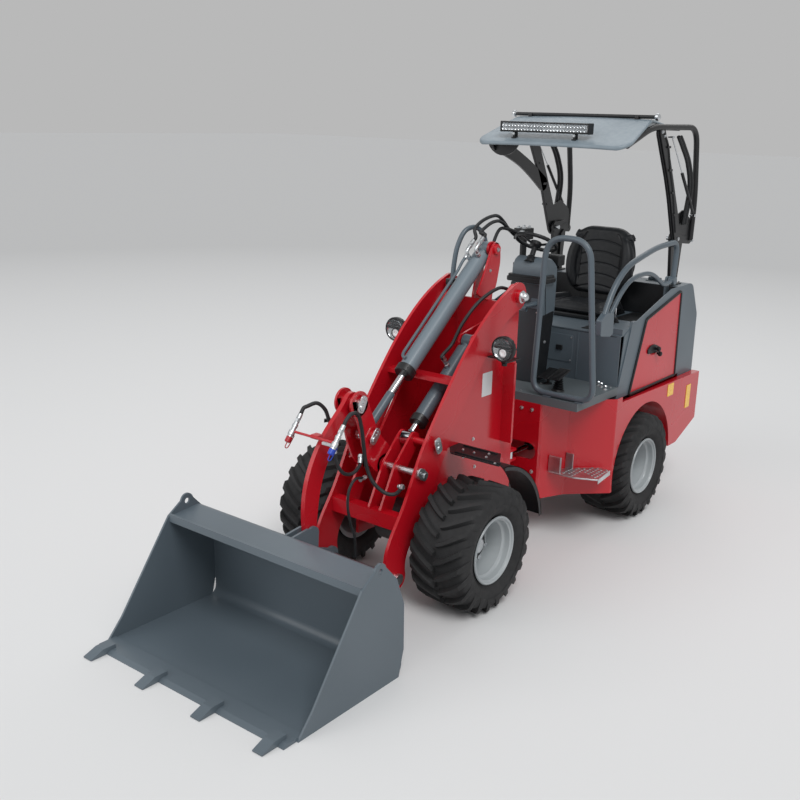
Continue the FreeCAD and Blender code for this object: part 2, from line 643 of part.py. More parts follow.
def bellcrank():
    """Two rocker plates on a hub, with the tilt rod's heads and room for link and rod eye."""
    outline = [
        ("link_pin_x + 70", "link_pin_z + 30"), ("link_pin_x + 48", "link_pin_z - 44"),
        ("link_pin_x - 18", "link_pin_z - 119"), ("tilt_pin_x + 65", "tilt_pin_z - 40"),
        ("crank_pin_x + 148", "crank_pin_z + 50"), ("crank_pin_x + 70", "crank_pin_z - 36"),
        ("crank_pin_x - 40", "crank_pin_z - 40"), ("crank_pin_x - 95", "crank_pin_z + 62"),
        ("tilt_pin_x - 105", "tilt_pin_z - 40"), ("tilt_pin_x - 50", "tilt_pin_z + 20"),
        ("link_pin_x - 75", "link_pin_z + 5")]
    plates = []
    for name, low in (("near", "link_plane + crank_inner"),
                      ("far", "link_plane - crank_inner - crank_plate")):
        depth = (low, f"{low} + crank_plate")
        plates.append(plate(f"bellcrank_{name}", outline, depth, {"30": [2, 3, 5, 8]}))
        plates.append(pin(f"bellcrank_top_{name}", "76", "link_pin_x", "link_pin_z", depth))
        plates.append(pin(f"bellcrank_foot_{name}", "62", "crank_pin_x", "crank_pin_z", depth))
    reach = "crank_inner + crank_plate"
    hub = pin("bellcrank_hub", "42", "crank_pin_x", "crank_pin_z",
              (f"link_plane - ({reach}) - side_gap + running_gap",
               f"link_plane + ({reach}) + side_gap - running_gap"))
    heads = [pin("tilt_head_near", "pin_radius + 14", "tilt_pin_x", "tilt_pin_z",
                 (f"link_plane + {reach}", f"link_plane + {reach} + 16")),
             pin("tilt_head_far", "pin_radius + 14", "tilt_pin_x", "tilt_pin_z",
                 (f"link_plane - ({reach}) - 16", f"link_plane - ({reach})"))]
    blank = fuse("bellcrank_blank", *plates, hub, *heads)
    crank = pin("bellcrank_bore", "pin_radius + pin_gap", "crank_pin_x", "crank_pin_z", ("-400", "400"))
    top = pin("bellcrank_top_bore", "pin_radius + pin_gap", "link_pin_x", "link_pin_z", ("-400", "400"))
    node(cut("bellcrank", blank, crank, top), "bellcrank")


LINK_STATIONS = ((0.14, 46, 52), (0.3, 88, 58), (0.5, 112, 60), (0.7, 96, 60), (0.88, 46, 54))


def link():
    """The curved link plate from the bellcrank to the bucket, thickened at its pivots."""
    y = (d.link_plane - d.link_plate / 2, d.link_plane + d.link_plate / 2)
    body = feature(band(LINK_STATIONS, (d.link_pin_x, d.link_pin_z),
                        (d.link_foot_x, d.link_foot_z), 62, 42, y), "link_body")
    reach = "crank_inner - running_gap"
    hub = pin("link_hub", "38", "link_pin_x", "link_pin_z",
              (f"link_plane - ({reach})", f"link_plane + ({reach})"))
    bore = pin("link_bore", "pin_radius + pin_gap", "link_pin_x", "link_pin_z", ("-400", "400"))
    foot = pin("link_foot_bore", "pin_radius", "link_foot_x", "link_foot_z", ("-400", "400"))
    node(cut("link", fuse("link_blank", body, hub), bore, foot), "link")


linkage_pins()
bellcrank()
link()


def ram(name, foot, eye, y, bore, rod, barrel_length, stored):
    """A hydraulic cylinder between two pivots: its barrel and its rod, each with an eye."""
    across = f"({eye[0]}) - ({foot[0]})"
    upward = f"({eye[1]}) - ({foot[1]})"
    length = f"hypot({across}; {upward})"
    half = "eye_width / 2"
    eyes = {part: pin(f"{name}_{part}_eye", "45", "0", place, (f"-({half})", half))
            for part, place in (("barrel", "0"), ("rod", length))}
    tube_bar = post(f"{name}_tube", bore, "0", "0", ("70", barrel_length))
    neck = post(f"{name}_neck", "eye_width / 2 - 2", "0", "0", ("30", "71"))
    gland = post(f"{name}_gland", f"{bore} + 4", "0", "0", (f"{barrel_length} - 45", barrel_length))
    foot_bore = pin(f"{name}_foot_bore", "pin_radius + pin_gap", "0", "0", ("-100", "100"))
    rod_bore = post(f"{name}_rod_bore", f"{rod} + running_gap", "0", "0",
                    (f"{barrel_length} - {stored} - 110", f"{barrel_length} + 10"))
    barrel = cut(f"{name}_barrel", fuse(f"{name}_barrel_blank", eyes["barrel"], tube_bar, neck, gland),
                 foot_bore, rod_bore)
    rod_bar = post(f"{name}_rod_bar", rod, "0", "0", (f"{barrel_length} - {stored}", length))
    eye_bore = pin(f"{name}_eye_bore", "pin_radius + pin_gap", "0", length, ("-100", "100"))
    rod_piece = cut(f"{name}_rod", fuse(f"{name}_rod_blank", rod_bar, eyes["rod"]), eye_bore)
    for piece, label in ((barrel, f"{name}_barrel"), (rod_piece, f"{name}_rod")):
        piece.Placement = Placement(Vector(), Rotation(Vector(0, 1, 0), 90))
        piece.setExpression("Placement.Rotation.Angle", ex(f"atan2({across}; {upward})"))
        node(piece, label, foot[0], y, foot[1])


ram("tilt", ("tilt_base_x", "tilt_base_z"), ("tilt_pin_x", "tilt_pin_z"), "link_plane",
    "tilt_bore", "tilt_rod", "tilt_barrel_length", "600")
ram("lift", ("lift_base_x", "lift_base_z"), ("lift_pin_x", "lift_pin_z"), "lift_plane",
    "lift_bore", "lift_rod", "lift_barrel_length", "480")


# ---------------------------------------------------------------- front frame
def along(name, radius, x, y, z):
    """A round bar along the machine between two places on X."""
    bar = doc.addObject("Part::Cylinder", name)
    bar.Placement = Placement(Vector(), Rotation(Vector(0, 1, 0), 90))
    bar.setExpression("Radius", ex(radius))
    bar.setExpression("Height", ex(f"({x[1]}) - ({x[0]})"))
    for base, place in (("x", x[0]), ("y", y), ("z", z)):
        bar.setExpression(f"Placement.Base.{base}", ex(place))
    return bar


def slab(name, outline, z, rounds=None):
    """A level plate cut to an outline of (x, y) corners."""
    body = doc.addObject("PartDesign::Body", name)
    sketch = outline_sketch(body, "XY_Plane", outline)
    sketch.setExpression("AttachmentOffset.Base.z", ex(z[0]))
    pad = body.newObject("PartDesign::Pad", name + "_pad")
    pad.Profile = sketch
    pad.setExpression("Length", ex(f"({z[1]}) - ({z[0]})"))
    body.Tip = pad
    for radius, corners in (rounds or {}).items():
        doc.recompute()
        middle = (pad.Shape.BoundBox.ZMin + pad.Shape.BoundBox.ZMax) / 2
        starts = [sketch.Geometry[n].StartPoint for n in corners]
        rounded(body, [Vector(start.x, start.y, middle) for start in starts], radius)
    return body


KNUCKLE = ("430", "750")


def tower():
    """The front frame: two side plates carrying the boom, the cylinders' lugs and the knuckle."""
    side = plate("tower_side", [
        ("tower_back", "tower_foot + 10"), ("-250", "tower_foot - 20"), ("150", "tower_foot"),
        ("150", f"{AXLE} + 130"), ("200", f"{AXLE} + 250"), ("60", f"{AXLE} + 370"),
        ("-120", f"{AXLE} + 610"), ("-430", "boom_pivot_z - 340"),
        ("boom_pivot_x + 72", "boom_pivot_z - 20"), ("tower_back", "boom_pivot_z - 50")],
        ("tower_inner", TOWER_OUTER), {"60": [4, 7]},
        [("0", AXLE, "axle_radius + running_gap")])
    crown = pin("tower_crown", "75", "boom_pivot_x", "boom_pivot_z", ("tower_inner", TOWER_OUTER))
    flange = box("tower_flange", ("tower_back + 130", "tower_back + 150"),
                 (f"{TOWER_OUTER} - 1", "330"), ("800", "1330"))
    stub = pin("tower_stub", "pivot_radius", "boom_pivot_x", "boom_pivot_z",
               ("tower_inner", f"{BOOM_OUTER} + 25"))
    spacer = pin("tower_spacer", "pivot_radius + 18", "boom_pivot_x", "boom_pivot_z",
                 (TOWER_OUTER, "boom_inner - running_gap"))
    head = pin("tower_head", "pivot_radius + 14", "boom_pivot_x", "boom_pivot_z",
               (f"{BOOM_OUTER} + running_gap", f"{BOOM_OUTER} + 25"))
    sides = both("tower_sides", fuse("tower_half", side, crown, flange, stub, spacer, head))
    back = box("tower_back_plate", ("tower_back", "tower_back + 20"),
               ("-tower_inner - 1", "tower_inner + 1"), ("tower_foot + 40", "boom_pivot_z - 60"))
    floor = box("tower_floor", ("tower_back", "-250"), ("-tower_inner - 1", "tower_inner + 1"),
                ("tower_foot + 20", "tower_foot + 40"))
    pieces = [sides, back, floor]
    gap = "(eye_width / 2 + side_gap)"
    lift_lug = [("tower_back + 10", "lift_base_z - 130"), ("lift_base_x + 15", "lift_base_z - 47"),
                ("lift_base_x + 15", "lift_base_z + 47"), ("tower_back + 10", "lift_base_z + 110")]
    tilt_ear = [("tilt_base_x - 48", "tilt_base_z - 10"), ("tower_back - 70", "1640"),
                ("tower_back", "1480"), ("tower_back + 20", "1480"), ("tower_back + 20", "1700"),
                ("tilt_base_x + 35", "tilt_base_z - 140"), ("tilt_base_x + 20", "tilt_base_z - 45")]
    for name, outline, plane, x, z in (
            ("lift", lift_lug, "lift_plane", "lift_base_x", "lift_base_z"),
            ("tilt", tilt_ear, "link_plane", "tilt_base_x", "tilt_base_z")):
        for hand, low in (("near", f"{plane} + {gap}"), ("far", f"{plane} - {gap} - lug_plate")):
            depth = (low, f"{low} + lug_plate")
            pieces.append(plate(f"tower_{name}_lug_{hand}", outline, depth))
            pieces.append(pin(f"tower_{name}_eye_{hand}", "50", x, z, depth))
        reach = f"{gap} + lug_plate + 14"
        pieces.append(pin(f"tower_{name}_pin", "pin_radius", x, z,
                          (f"{plane} - ({reach})", f"{plane} + ({reach})")))
    pieces.append(post("knuckle", "55", MIDDLE, "0", KNUCKLE))
    pieces.append(box("knuckle_web", (MIDDLE, "tower_back + 1"), ("-45", "45"), KNUCKLE))
    pieces.append(post("knuckle_pin", "25", MIDDLE, "0", (f"{KNUCKLE[0]} - 35", f"{KNUCKLE[1]} + 35")))
    pieces.append(post("knuckle_cap", "40", MIDDLE, "0",
                       (f"{KNUCKLE[1]} + 25 + running_gap", f"{KNUCKLE[1]} + 45")))
    for name, low, high in (("upper", "steer_height + steer_eye / 2 + running_gap",
                             "steer_height + steer_eye / 2 + 18"),
                            ("lower", "steer_height - steer_eye / 2 - 18",
                             "steer_height - steer_eye / 2 - running_gap")):
        pieces.append(box(f"steer_ear_{name}", ("steer_front - 40", "tower_back + 1"),
                          ("steer_side - 42", "tower_inner"), (low, high)))
    node(fuse("tower", *pieces), "tower")


def fenders():
    """The front mudguards: bent sheet behind and over each front wheel, on a bracket."""
    inner, outer = 330, d.fender_edge
    path = [(-d.fender_radius - 12, axle_z + 80), (-d.fender_radius, axle_z + 330),
            (-300, axle_z + 550), (100, axle_z + 562)]
    sheet_metal = feature(bent(path, 120, 4, (inner, outer)), "fender_sheet")
    bracket = box("fender_bracket", ("-290", "-170"), (TOWER_OUTER, "345"),
                  (f"{AXLE} + 530", f"{AXLE} + 545"))
    return both("front_fenders", fuse("fender", sheet_metal, bracket))


def headlamps():
    """The working lamps on arms at the tower's sides."""
    arm = box("lamp_arm", ("-600", "-500"), (TOWER_OUTER, "lamp_side + 30"), ("lamp_z - 95", "lamp_z - 83"))
    foot = box("lamp_foot", ("-501", "-400"), ("lamp_side - 30", "lamp_side + 30"), ("lamp_z - 95", "lamp_z - 83"))
    stem = post("lamp_stem", "12", "-440", "lamp_side", ("lamp_z - 84", "lamp_z - 60"))
    shell = along("lamp_shell", "lamp_radius", ("-450", "-400"), "lamp_side", "lamp_z")
    back = along("lamp_back", "lamp_radius * 0.7", ("-480", "-449"), "lamp_side", "lamp_z")
    return both("headlamps", fuse("headlamp", arm, foot, stem, shell, back))


tower()
node(fenders(), "front_fenders")
node(headlamps(), "headlamps")


# ---------------------------------------------------------------- steering cylinder
def steering_cylinder():
    """The cylinder that bends the machine: level, from the rear frame to the tower."""
    base_x = f"{REAR} + steer_base"
    length = f"steer_front - ({base_x})"
    half = "steer_eye / 2"
    tube_bar = along("steer_tube", "steer_bore", ("52", "420"), "0", "0")
    neck = along("steer_neck", "24", ("20", "53"), "0", "0")
    gland = along("steer_gland", "steer_bore + 3", ("390", "420"), "0", "0")
    base_eye = post("steer_base_eye", "32", "0", "0", (f"-{half}", half))
    bore = post("steer_base_bore", "14 + pin_gap", "0", "0", ("-60", "60"))
    rod_bore = along("steer_rod_bore", "steer_rod + running_gap", ("40", "430"), "0", "0")
    barrel = cut("steer_barrel", fuse("steer_barrel_blank", tube_bar, neck, gland, base_eye), bore, rod_bore)
    node(barrel, "steer_barrel", base_x, "steer_side", "steer_height")
    rod_bar = along("steer_rod_bar", "steer_rod", ("180", length), "0", "0")
    eye = post("steer_rod_eye", "32", length, "0", (f"-{half}", half))
    eye_bore = post("steer_eye_bore", "14", length, "0", ("-60", "60"))
    rod = cut("steer_rod", fuse("steer_rod_blank", rod_bar, eye), eye_bore)
    node(rod, "steer_rod", base_x, "steer_side", "steer_height")


steering_cylinder()


# ---------------------------------------------------------------- rear frame and body
def rear_chassis():
    """Front plate, two long members, ties, articulation ears and the steering cylinder's seat."""
    nose = box("nose_plate", (f"{NOSE} - frame_plate", NOSE),
               ("-nose_half + panel_plate", "nose_half - panel_plate"),
               ("380", "floor_top - floor_lip"))
    slot = [along("nose_slot_left", "60", (f"{NOSE} - 100", f"{NOSE} + 100"), "steer_side + 62", "steer_height"),
            along("nose_slot_right", "60", (f"{NOSE} - 100", f"{NOSE} + 100"), "steer_side - 62", "steer_height"),
            box("nose_slot_middle", (f"{NOSE} - 100", f"{NOSE} + 100"),
                ("steer_side - 62", "steer_side + 62"), ("steer_height - 60", "steer_height + 60"))]
    member = plate("long_member", [
        (f"{TAIL} + tail_plate", f"{AXLE} - 100"), (f"{NOSE} - frame_plate + 1", f"{AXLE} - 100"),
        (f"{NOSE} - frame_plate + 1", "floor_top - floor_lip"), (f"{NOSE} - 500", "floor_top - floor_lip"),
        (f"{REAR} + 300", "700"), (f"{TAIL} + tail_plate", "700")], ("270", "290"),
        None, [(REAR, AXLE, "axle_radius + running_gap")])
    floor_web = box("floor_web", (f"{NOSE} - 500", f"{NOSE} - 5"), ("270", "290"),
                    ("floor_top - floor_lip - 1", "floor_top - floor_plate"))
    ties = [box(f"tie_{n}", (x, f"{x} + 20"), ("-271", "271"), ("330", "560"))
            for n, x in enumerate((f"{REAR} + 300", f"{REAR} - 320"))]
    ears = []
    for n, low in enumerate((f"{KNUCKLE[0]} - 25", f"{KNUCKLE[1]} + 5")):
        depth = (low, f"{low} + 20")
        ears.append(box(f"ear_{n}", (f"{NOSE} - 1", MIDDLE), ("-60", "60"), depth))
        ears.append(post(f"ear_end_{n}", "60", MIDDLE, "0", depth))
    seat_x = f"{REAR} + steer_base"
    seats = []
    for n, low in enumerate(("steer_height - steer_eye / 2 - running_gap - 16",
                             "steer_height + steer_eye / 2 + running_gap")):
        seats.append(box(f"steer_seat_{n}", (f"{seat_x} - 50", f"{seat_x} + 40"),
                         ("steer_side - 40", "271"), (low, f"{low} + 16")))
    steer_pin = post("steer_pin", "14", seat_x, "steer_side",
                     ("steer_height - steer_eye / 2 - 20", "steer_height + steer_eye / 2 + 22"))
    blank = fuse("chassis_blank", nose, both("long_members", fuse("member", member, floor_web)),
                 *ties, *ears)
    bore = post("ear_bore_cut", "25 + pin_gap", MIDDLE, "0", ("300", "900"))
    body = cut("chassis_bored", blank, *slot, bore)
    node(fuse("rear_chassis", body, *seats, steer_pin), "rear_chassis")


def bodywork(hand, side):
    """One side of the lower body: flared front quarter, mudguard skin, wheel arch and top strip."""
    outer = d.body_half + d.guard_flare
    nose = rear + d.nose_reach
    arch_x = rear - 30
    front = arch_x + d.arch_radius
    tail = rear - d.tail_reach
    top = d.floor_top - d.floor_lip - 36
    low = d.axle_floor
    plan = rounded_path([(nose, d.nose_half, low), (nose - 40, d.nose_half, low),
                         (nose - 240, d.nose_half + 90, low), (front + 20, outer, low),
                         (front - 60, outer, low)], 18)
    quarter = plan.makeOffset2D(-d.panel_plate, fill=True, openResult=True, join=2)
    quarter = quarter.extrude(Vector(0, 0, d.floor_top - d.floor_lip - low))
    corners = [(front, low), (front, top), (tail, top - 24), (tail, d.tail_foot),
               (tail + 345, 414), (arch_x - d.arch_radius + 30, 414)]
    outline = Part.makePolygon([Vector(x, outer - d.panel_plate, z) for x, z in corners + corners[:1]])
    skin = Part.Face(outline).extrude(Vector(0, d.panel_plate, 0))
    wheel_hole = Part.makeCylinder(d.arch_radius, 1000, Vector(arch_x, 0, axle_z), Vector(0, 1, 0))
    liner_out = Part.makeCylinder(d.arch_radius + d.panel_plate, outer - 305,
                                  Vector(arch_x, 300, axle_z), Vector(0, 1, 0))
    keep = Part.makeBox(2000, 1000, 1000, Vector(arch_x - 1000, 0, 414))
    liner = liner_out.cut(wheel_hole).common(keep)
    strip = Part.makeBox(front - tail, d.guard_flare + 5, 5,
                         Vector(tail, d.body_half - 5, top - 29))
    shape = skin.fuse([liner_out.common(keep), strip, quarter]).cut(wheel_hole).removeSplitter()
    if side < 0:
        shape = shape.mirror(Vector(0, 0, 0), Vector(0, 1, 0))
    shape_node(shape, f"bodywork_{hand}")


rear_chassis()
for side, hand in ((1, "left"), (-1, "right")):
    bodywork(hand, side)


def platform():
    """The driver's floor with a rim folded down round its front and sides."""
    floor = box("floor_plate_sheet", (f"{REAR} + floor_rear", NOSE), ("-body_half", "body_half"),
                ("floor_top - floor_plate", "floor_top"))
    front = box("floor_front_rim", (f"{NOSE} - panel_plate", NOSE), ("-body_half", "body_half"),
                ("floor_top - floor_lip", "floor_top"))
    rim = box("floor_side_rim", (f"{REAR} + floor_rear", NOSE), ("body_half - panel_plate", "body_half"),
              ("floor_top - floor_lip", "floor_top"))
    return fuse("platform", floor, front, both("floor_side_rims", rim))


def cabinet():
    """The grey body over the rear axle: seat box, side cheeks and the deck behind the seat."""
    face = f"{REAR} + floor_rear"
    inner = "body_half - panel_plate - 5"
    deck_front = f"{REAR} - 545"
    deck_rear = f"{REAR} - hood_front"
    front = box("cabinet_front", (f"{face} - 6", face), (f"-({inner})", inner),
                ("floor_top - floor_lip - 36", "cabinet_top"))
    top = box("cabinet_shelf", (f"{deck_front} - 6", face), (f"-({inner})", inner),
              ("cabinet_top - 6", "cabinet_top"))
    wall = box("cabinet_wall", (f"{deck_front} - 6", deck_front), (f"-({inner})", inner),
               ("cabinet_top - 6", "deck_height"))
    deck = box("cabinet_deck", (deck_rear, deck_front), (f"-({inner})", inner),
               ("deck_height - 6", "deck_height"))
    cheek = plate("cabinet_cheek", [
        (face, "floor_top - floor_lip - 36"), (f"{face} - 50", "cabinet_top"),
        (f"{REAR} + 130", "cabinet_top + 76"), (f"{REAR} - 420", "deck_height"),
        (deck_rear, "deck_height"), (deck_rear, "floor_top - floor_lip - 36")],
        (inner, "body_half - panel_plate"), {"40": [2, 3]})
    rest = box("cabinet_armrest", (f"{REAR} + 20", f"{REAR} + 340"), ("360", f"{inner} + 1"),
               ("cabinet_top - 1", "cabinet_top + 42"))
    lug = plate("rail_lug", [
        ("rail_x - 32", "cabinet_top - 1"), ("rail_x + 32", "cabinet_top - 1"),
        ("rail_x + 28", "rail_z"), ("rail_x - 28", "rail_z")], ("body_half - 60", "body_half - 45"))
    lug_end = pin("rail_lug_end", "28", "rail_x", "rail_z", ("body_half - 60", "body_half - 45"))
    rail_pin = pin("rail_pin", "12", "rail_x", "rail_z", ("body_half - 60", "body_half + 12"))
    return fuse("cabinet", front, top, wall, deck, both("cabinet_cheeks", cheek), rest,
                lug, lug_end, rail_pin, both("hood_hinges", hood_hinge()))


def hood_hinge():
    """The fixed half of one hinge of the hood: two knuckles on leaves, and the pin."""
    x, z = f"{REAR} - hood_front - hood_gap", "deck_height + hinge_radius + 2"
    shaft = pin("hood_hinge_pin", "hinge_pin", x, z, ("hinge_side - 50", "hinge_side + 50"))
    pieces = [shaft]
    for name, depth in (("inner", ("hinge_side - 50", "hinge_side - 30 - running_gap")),
                        ("outer", ("hinge_side + 30 + running_gap", "hinge_side + 50"))):
        pieces.append(pin(f"hood_knuckle_{name}", "hinge_radius", x, z, depth))
        pieces.append(box(f"hood_leaf_{name}", (x, f"{x} + 60"), depth, ("deck_height - 1", "deck_height + 5")))
    return fuse("hood_hinge", *pieces)


def side_panels():
    """The red covers on both sides of the seat box."""
    cover = plate("side_cover", [
        (f"{REAR} + 173", "floor_top - 91"), (f"{REAR} - 12", "cabinet_top + 27"),
        (f"{REAR} - 605", "cabinet_top + 197"), (f"{REAR} - 614", "floor_top - 89")],
        ("body_half - panel_plate", "body_half"), {"70": [1, 2]})
    return both("side_panels", cover)


def tail_weight():
    """The cast counterweight that closes the tail, over the ends of the long members."""
    body = plate("tail_casting", [
        (TAIL, "tail_foot"), (f"{TAIL} + tail_plate", "tail_foot - 30"),
        (f"{TAIL} + tail_plate", "floor_top - 145"), (TAIL, "floor_top - 145")],
        (f"panel_plate - {GUARD}", f"{GUARD} - panel_plate"))
    return body


def engine():
    """The engine with its gearbox, as one block on the long members."""
    block = box("engine_block", (f"{REAR} - 860", f"{REAR} - 330"), ("-250", "250"), ("620", "1180"))
    feet = box("engine_feet", (f"{REAR} - 800", f"{REAR} - 400"), ("-288", "288"), ("700", "740"))
    return fuse("engine", block, feet)


def hood():
    """The grey engine cover behind the posts: a bent sheet closed by two cheeks."""
    front = rear - d.hood_front - d.hood_gap
    tail = rear - d.tail_reach
    top = d.deck_height
    low = d.floor_top - 145 + d.running_gap
    half = d.body_half - 10
    path = [(front, top), (front - 120, top), (tail + 12, top - 260), (tail + 2, low)]
    skin = bent(path, 90, 4, (-half, half))
    cheek_path = rounded_path([(x, 0, z) for x, z in path], 90)
    closing = Part.makePolygon([Vector(tail + 2, 0, low), Vector(front, 0, low), Vector(front, 0, top)])
    face = Part.Face(Part.Wire(Part.__sortEdges__(cheek_path.Edges + closing.Edges)))
    cheeks = []
    for y in (-half, half - 4):
        cheek = face.copy()
        cheek.translate(Vector(0, y, 0))
        cheeks.append(cheek.extrude(Vector(0, 4, 0)))
    axis_z = top + d.hinge_radius + 2
    knuckles = []
    for side in (-1, 1):
        start = side * d.hinge_side - 30
        knuckles.append(Part.makeCylinder(d.hinge_radius, 60, Vector(front, start, axis_z), Vector(0, 1, 0)))
        knuckles.append(Part.makeBox(60, 60, 6, Vector(front - 60, start, top - 1)))
    blank = skin.fuse(cheeks + knuckles).removeSplitter()
    bore = Part.makeCylinder(d.hinge_pin + d.pin_gap, 2 * half, Vector(front, -half, axis_z), Vector(0, 1, 0))
    shape_node(blank.cut(bore), "hood")


node(platform(), "platform")
node(cabinet(), "cabinet")
node(side_panels(), "side_panels")
node(tail_weight(), "tail_weight")
node(engine(), "engine")
hood()


# ---------------------------------------------------------------- driver's place
def step():
    """The tread plate under the platform's left edge, on two brackets."""
    tread = slab("step_tread", [
        (f"{NOSE} + 40", "nose_half + 120"), (f"{NOSE} + 40", "step_half"),
        (f"{NOSE} - 400", "step_half"), (f"{NOSE} - 430", "step_half - 40"),
        (f"{NOSE} - 240", "nose_half + 105")], ("step_height - 12", "step_height"))
    hanger = box("step_hanger", (f"{NOSE} - 97", f"{NOSE} - 77"), ("nose_half + 25.7", "nose_half + 125"),
                 ("step_height - 12", "step_height + 110"))
    hanger_rear = box("step_hanger_rear", (f"{NOSE} - 240", f"{NOSE} - 232"),
                      ("nose_half + 90.4", "nose_half + 140"), ("step_height - 12", "step_height + 60"))
    return fuse("step", tread, hanger, hanger_rear)


def seat():
    """The seat's shell with its cushion and backrest as soft blocks."""
    shell = plate("seat_shell_plate", [
        (f"{REAR} + 20", "cabinet_top"), (f"{REAR} + 20", "cabinet_top + 40"),
        (f"{REAR} - 455", "cabinet_top + 40"), (f"{REAR} - 515", "cabinet_top + 620"),
        (f"{REAR} - 527", "cabinet_top + 620"), (f"{REAR} - 485", "cabinet_top")],
        ("-seat_half + 30", "seat_half - 30"))
    node(shell, "seat_shell")
    cushion = plate("cushion_block", [
        (f"{REAR} + 25", f"cabinet_top + 40 + running_gap"), (f"{REAR} + 25", "cabinet_top + 95"),
        (f"{REAR} - 350", "cabinet_top + 105"), (f"{REAR} - 365", f"cabinet_top + 40 + running_gap")],
        ("-seat_half", "seat_half"), {"18": [1, 2]})
    node(cushion, "seat_cushion")
    lean = "60 / 580"
    back = plate("backrest_block", [
        (f"{REAR} - 366", "cabinet_top + 108"), (f"{REAR} - 425", "cabinet_top + 615"),
        (f"{REAR} - 455 - 575 * {lean} + running_gap", "cabinet_top + 615"),
        (f"{REAR} - 455 - 68 * {lean} + running_gap", "cabinet_top + 108")],
        ("-seat_half", "seat_half"), {"25": [1]})
    node(back, "seat_backrest")


COLUMN_RADIUS = 19


def console():
    """The steering console, with the column that carries the steering wheel."""
    face = f"{REAR} + 670"
    body = plate("console_body", [
        (face, "floor_top"), (face, "floor_top + 830"), (f"{face} - 50", "floor_top + 880"),
        (f"{face} - 215", "floor_top + 820"), (f"{face} - 215", "floor_top + 500"),
        (f"{face} - 140", "floor_top")], ("-120", "120"), {"20": [2, 3]})
    axis = Rotation(Vector(0, 1, 0), -d.wheel_lean)
    well = doc.addObject("Part::Cylinder", "column_well")
    well.Radius = COLUMN_RADIUS + d.running_gap
    well.Height = 400
    start = Vector(rear + d.wheel_x, 0, d.wheel_z) + axis.multVec(Vector(0, 0, -153))
    well.Placement = Placement(start, axis)
    return cut("console_bored", body, well)


def steering_wheel():
    """A ring with three spokes on a column, leaned towards the driver."""
    ring = Part.makeTorus(d.wheel_ring, 14)
    hub = Part.makeCylinder(38, 30, Vector(0, 0, -20))
    column = Part.makeCylinder(COLUMN_RADIUS, 130, Vector(0, 0, -150))
    spokes = []
    for n in range(3):
        spoke = Part.makeBox(d.wheel_ring - 20, 26, 8, Vector(20, -13, -4))
        spoke.rotate(Vector(0, 0, 0), Vector(0, 0, 1), 120 * n + 60)
        spokes.append(spoke)
    for piece in (ring, hub, column, *spokes):
        piece.rotate(Vector(0, 0, 0), Vector(0, 1, 0), -d.wheel_lean)
        piece.translate(Vector(rear + d.wheel_x, 0, d.wheel_z))
    return ring.fuse([hub, column, *spokes])


def controls():
    """The lever bank on the armrest and two pedals on the floor."""
    pieces = []
    for n in range(3):
        x = f"{REAR} + {130 + 70 * n}"
        y = "430"
        pieces.append(post(f"lever_{n}", "6", x, y, ("cabinet_top + 42", "cabinet_top + 150")))
        pieces.append(post(f"lever_knob_{n}", "17", x, y, ("cabinet_top + 149", "cabinet_top + 190")))
    for n, y in enumerate(("190", "330")):
        pieces.append(slab(f"pedal_{n}", [
            (f"{REAR} + 560", f"{y} - 45"), (f"{REAR} + 660", f"{y} - 45"),
            (f"{REAR} + 660", f"{y} + 45"), (f"{REAR} + 560", f"{y} + 45")],
            ("floor_top + 60", "floor_top + 70"), {"12": [0, 1, 2, 3]}))
        pieces.append(post(f"pedal_foot_{n}", "14", f"{REAR} + 610", y, ("floor_top", "floor_top + 61")))
    return fuse("controls", *pieces)


def entry_loop():
    """The upright hand loop at the platform's front edge, tied to the console by a cross bar."""
    x = rear + d.nose_reach - 35
    foot = d.floor_top + d.tube_radius + d.running_gap
    head = d.floor_top + 1055
    corners = [(x, 440, foot), (x, 238, foot), (x, 276, head), (x, 590, head), (x, 692, foot),
               (x, 440, foot)]
    loop = tube(corners, d.tube_radius, 95)
    face = rear + 670
    bar = tube([(face, 85, d.floor_top + 560), (x, 85, d.floor_top + 560),
                (x, 640, d.floor_top + 560)], d.tube_radius - 3, 70)
    shape_node(loop.fuse(bar).removeSplitter(), "entry_loop")


def arm_rail():
    """The side guard: two bent tubes from a front block to the hinge behind the seat."""
    y = d.body_half - 12
    hinge = (d.rail_x, y, d.rail_z)
    upper = tube([(rear + 600, y, 1520), (rear + 310, y, 1925), (rear - 330, y, 2030),
                  (rear - 455, y, 1940), (d.rail_x - 5, y, d.rail_z)], d.tube_radius, 90)
    lower = tube([(rear + 590, y, 1590), (rear + 330, y, 1800), (rear - 100, y, 1790),
                  hinge], d.tube_radius - 4, 150)
    block = Part.makeBox(180, 36, 170, Vector(rear + 520, y - 18, 1430))
    eye = Part.makeCylinder(30, 46, Vector(d.rail_x, y - 23, d.rail_z), Vector(0, 1, 0))
    bore = Part.makeCylinder(12 + d.pin_gap, 200, Vector(d.rail_x, y - 100, d.rail_z), Vector(0, 1, 0))
    shape_node(upper.fuse([lower, block, eye]).cut(bore).removeSplitter(), "arm_rail")


node(step(), "step")
seat()
node(console(), "console")
shape_node(steering_wheel(), "steering_wheel")
node(controls(), "controls")
entry_loop()
arm_rail()


# ---------------------------------------------------------------- canopy
def canopy_posts():
    """The fixed lower posts on the deck, with the hinge of the folding canopy on top."""
    post_plate = plate("low_post", [
        (f"{REAR} - 690", "deck_height"), (f"{REAR} - 570", "deck_height"),
        (f"{REAR} - fold_back + 40", "fold_height - 10"), (f"{REAR} - fold_back - 40", "fold_height - 10")],
        ("post_half - 12", "post_half + 12"))
    end = pin("low_post_end", "45", f"{REAR} - fold_back", "fold_height", ("post_half - 12", "post_half + 12"))
    hinge = pin("fold_pin", "16", f"{REAR} - fold_back", "fold_height", ("post_half - 40", "post_half + 40"))
    return both("canopy_posts", fuse("canopy_post", post_plate, end, hinge))


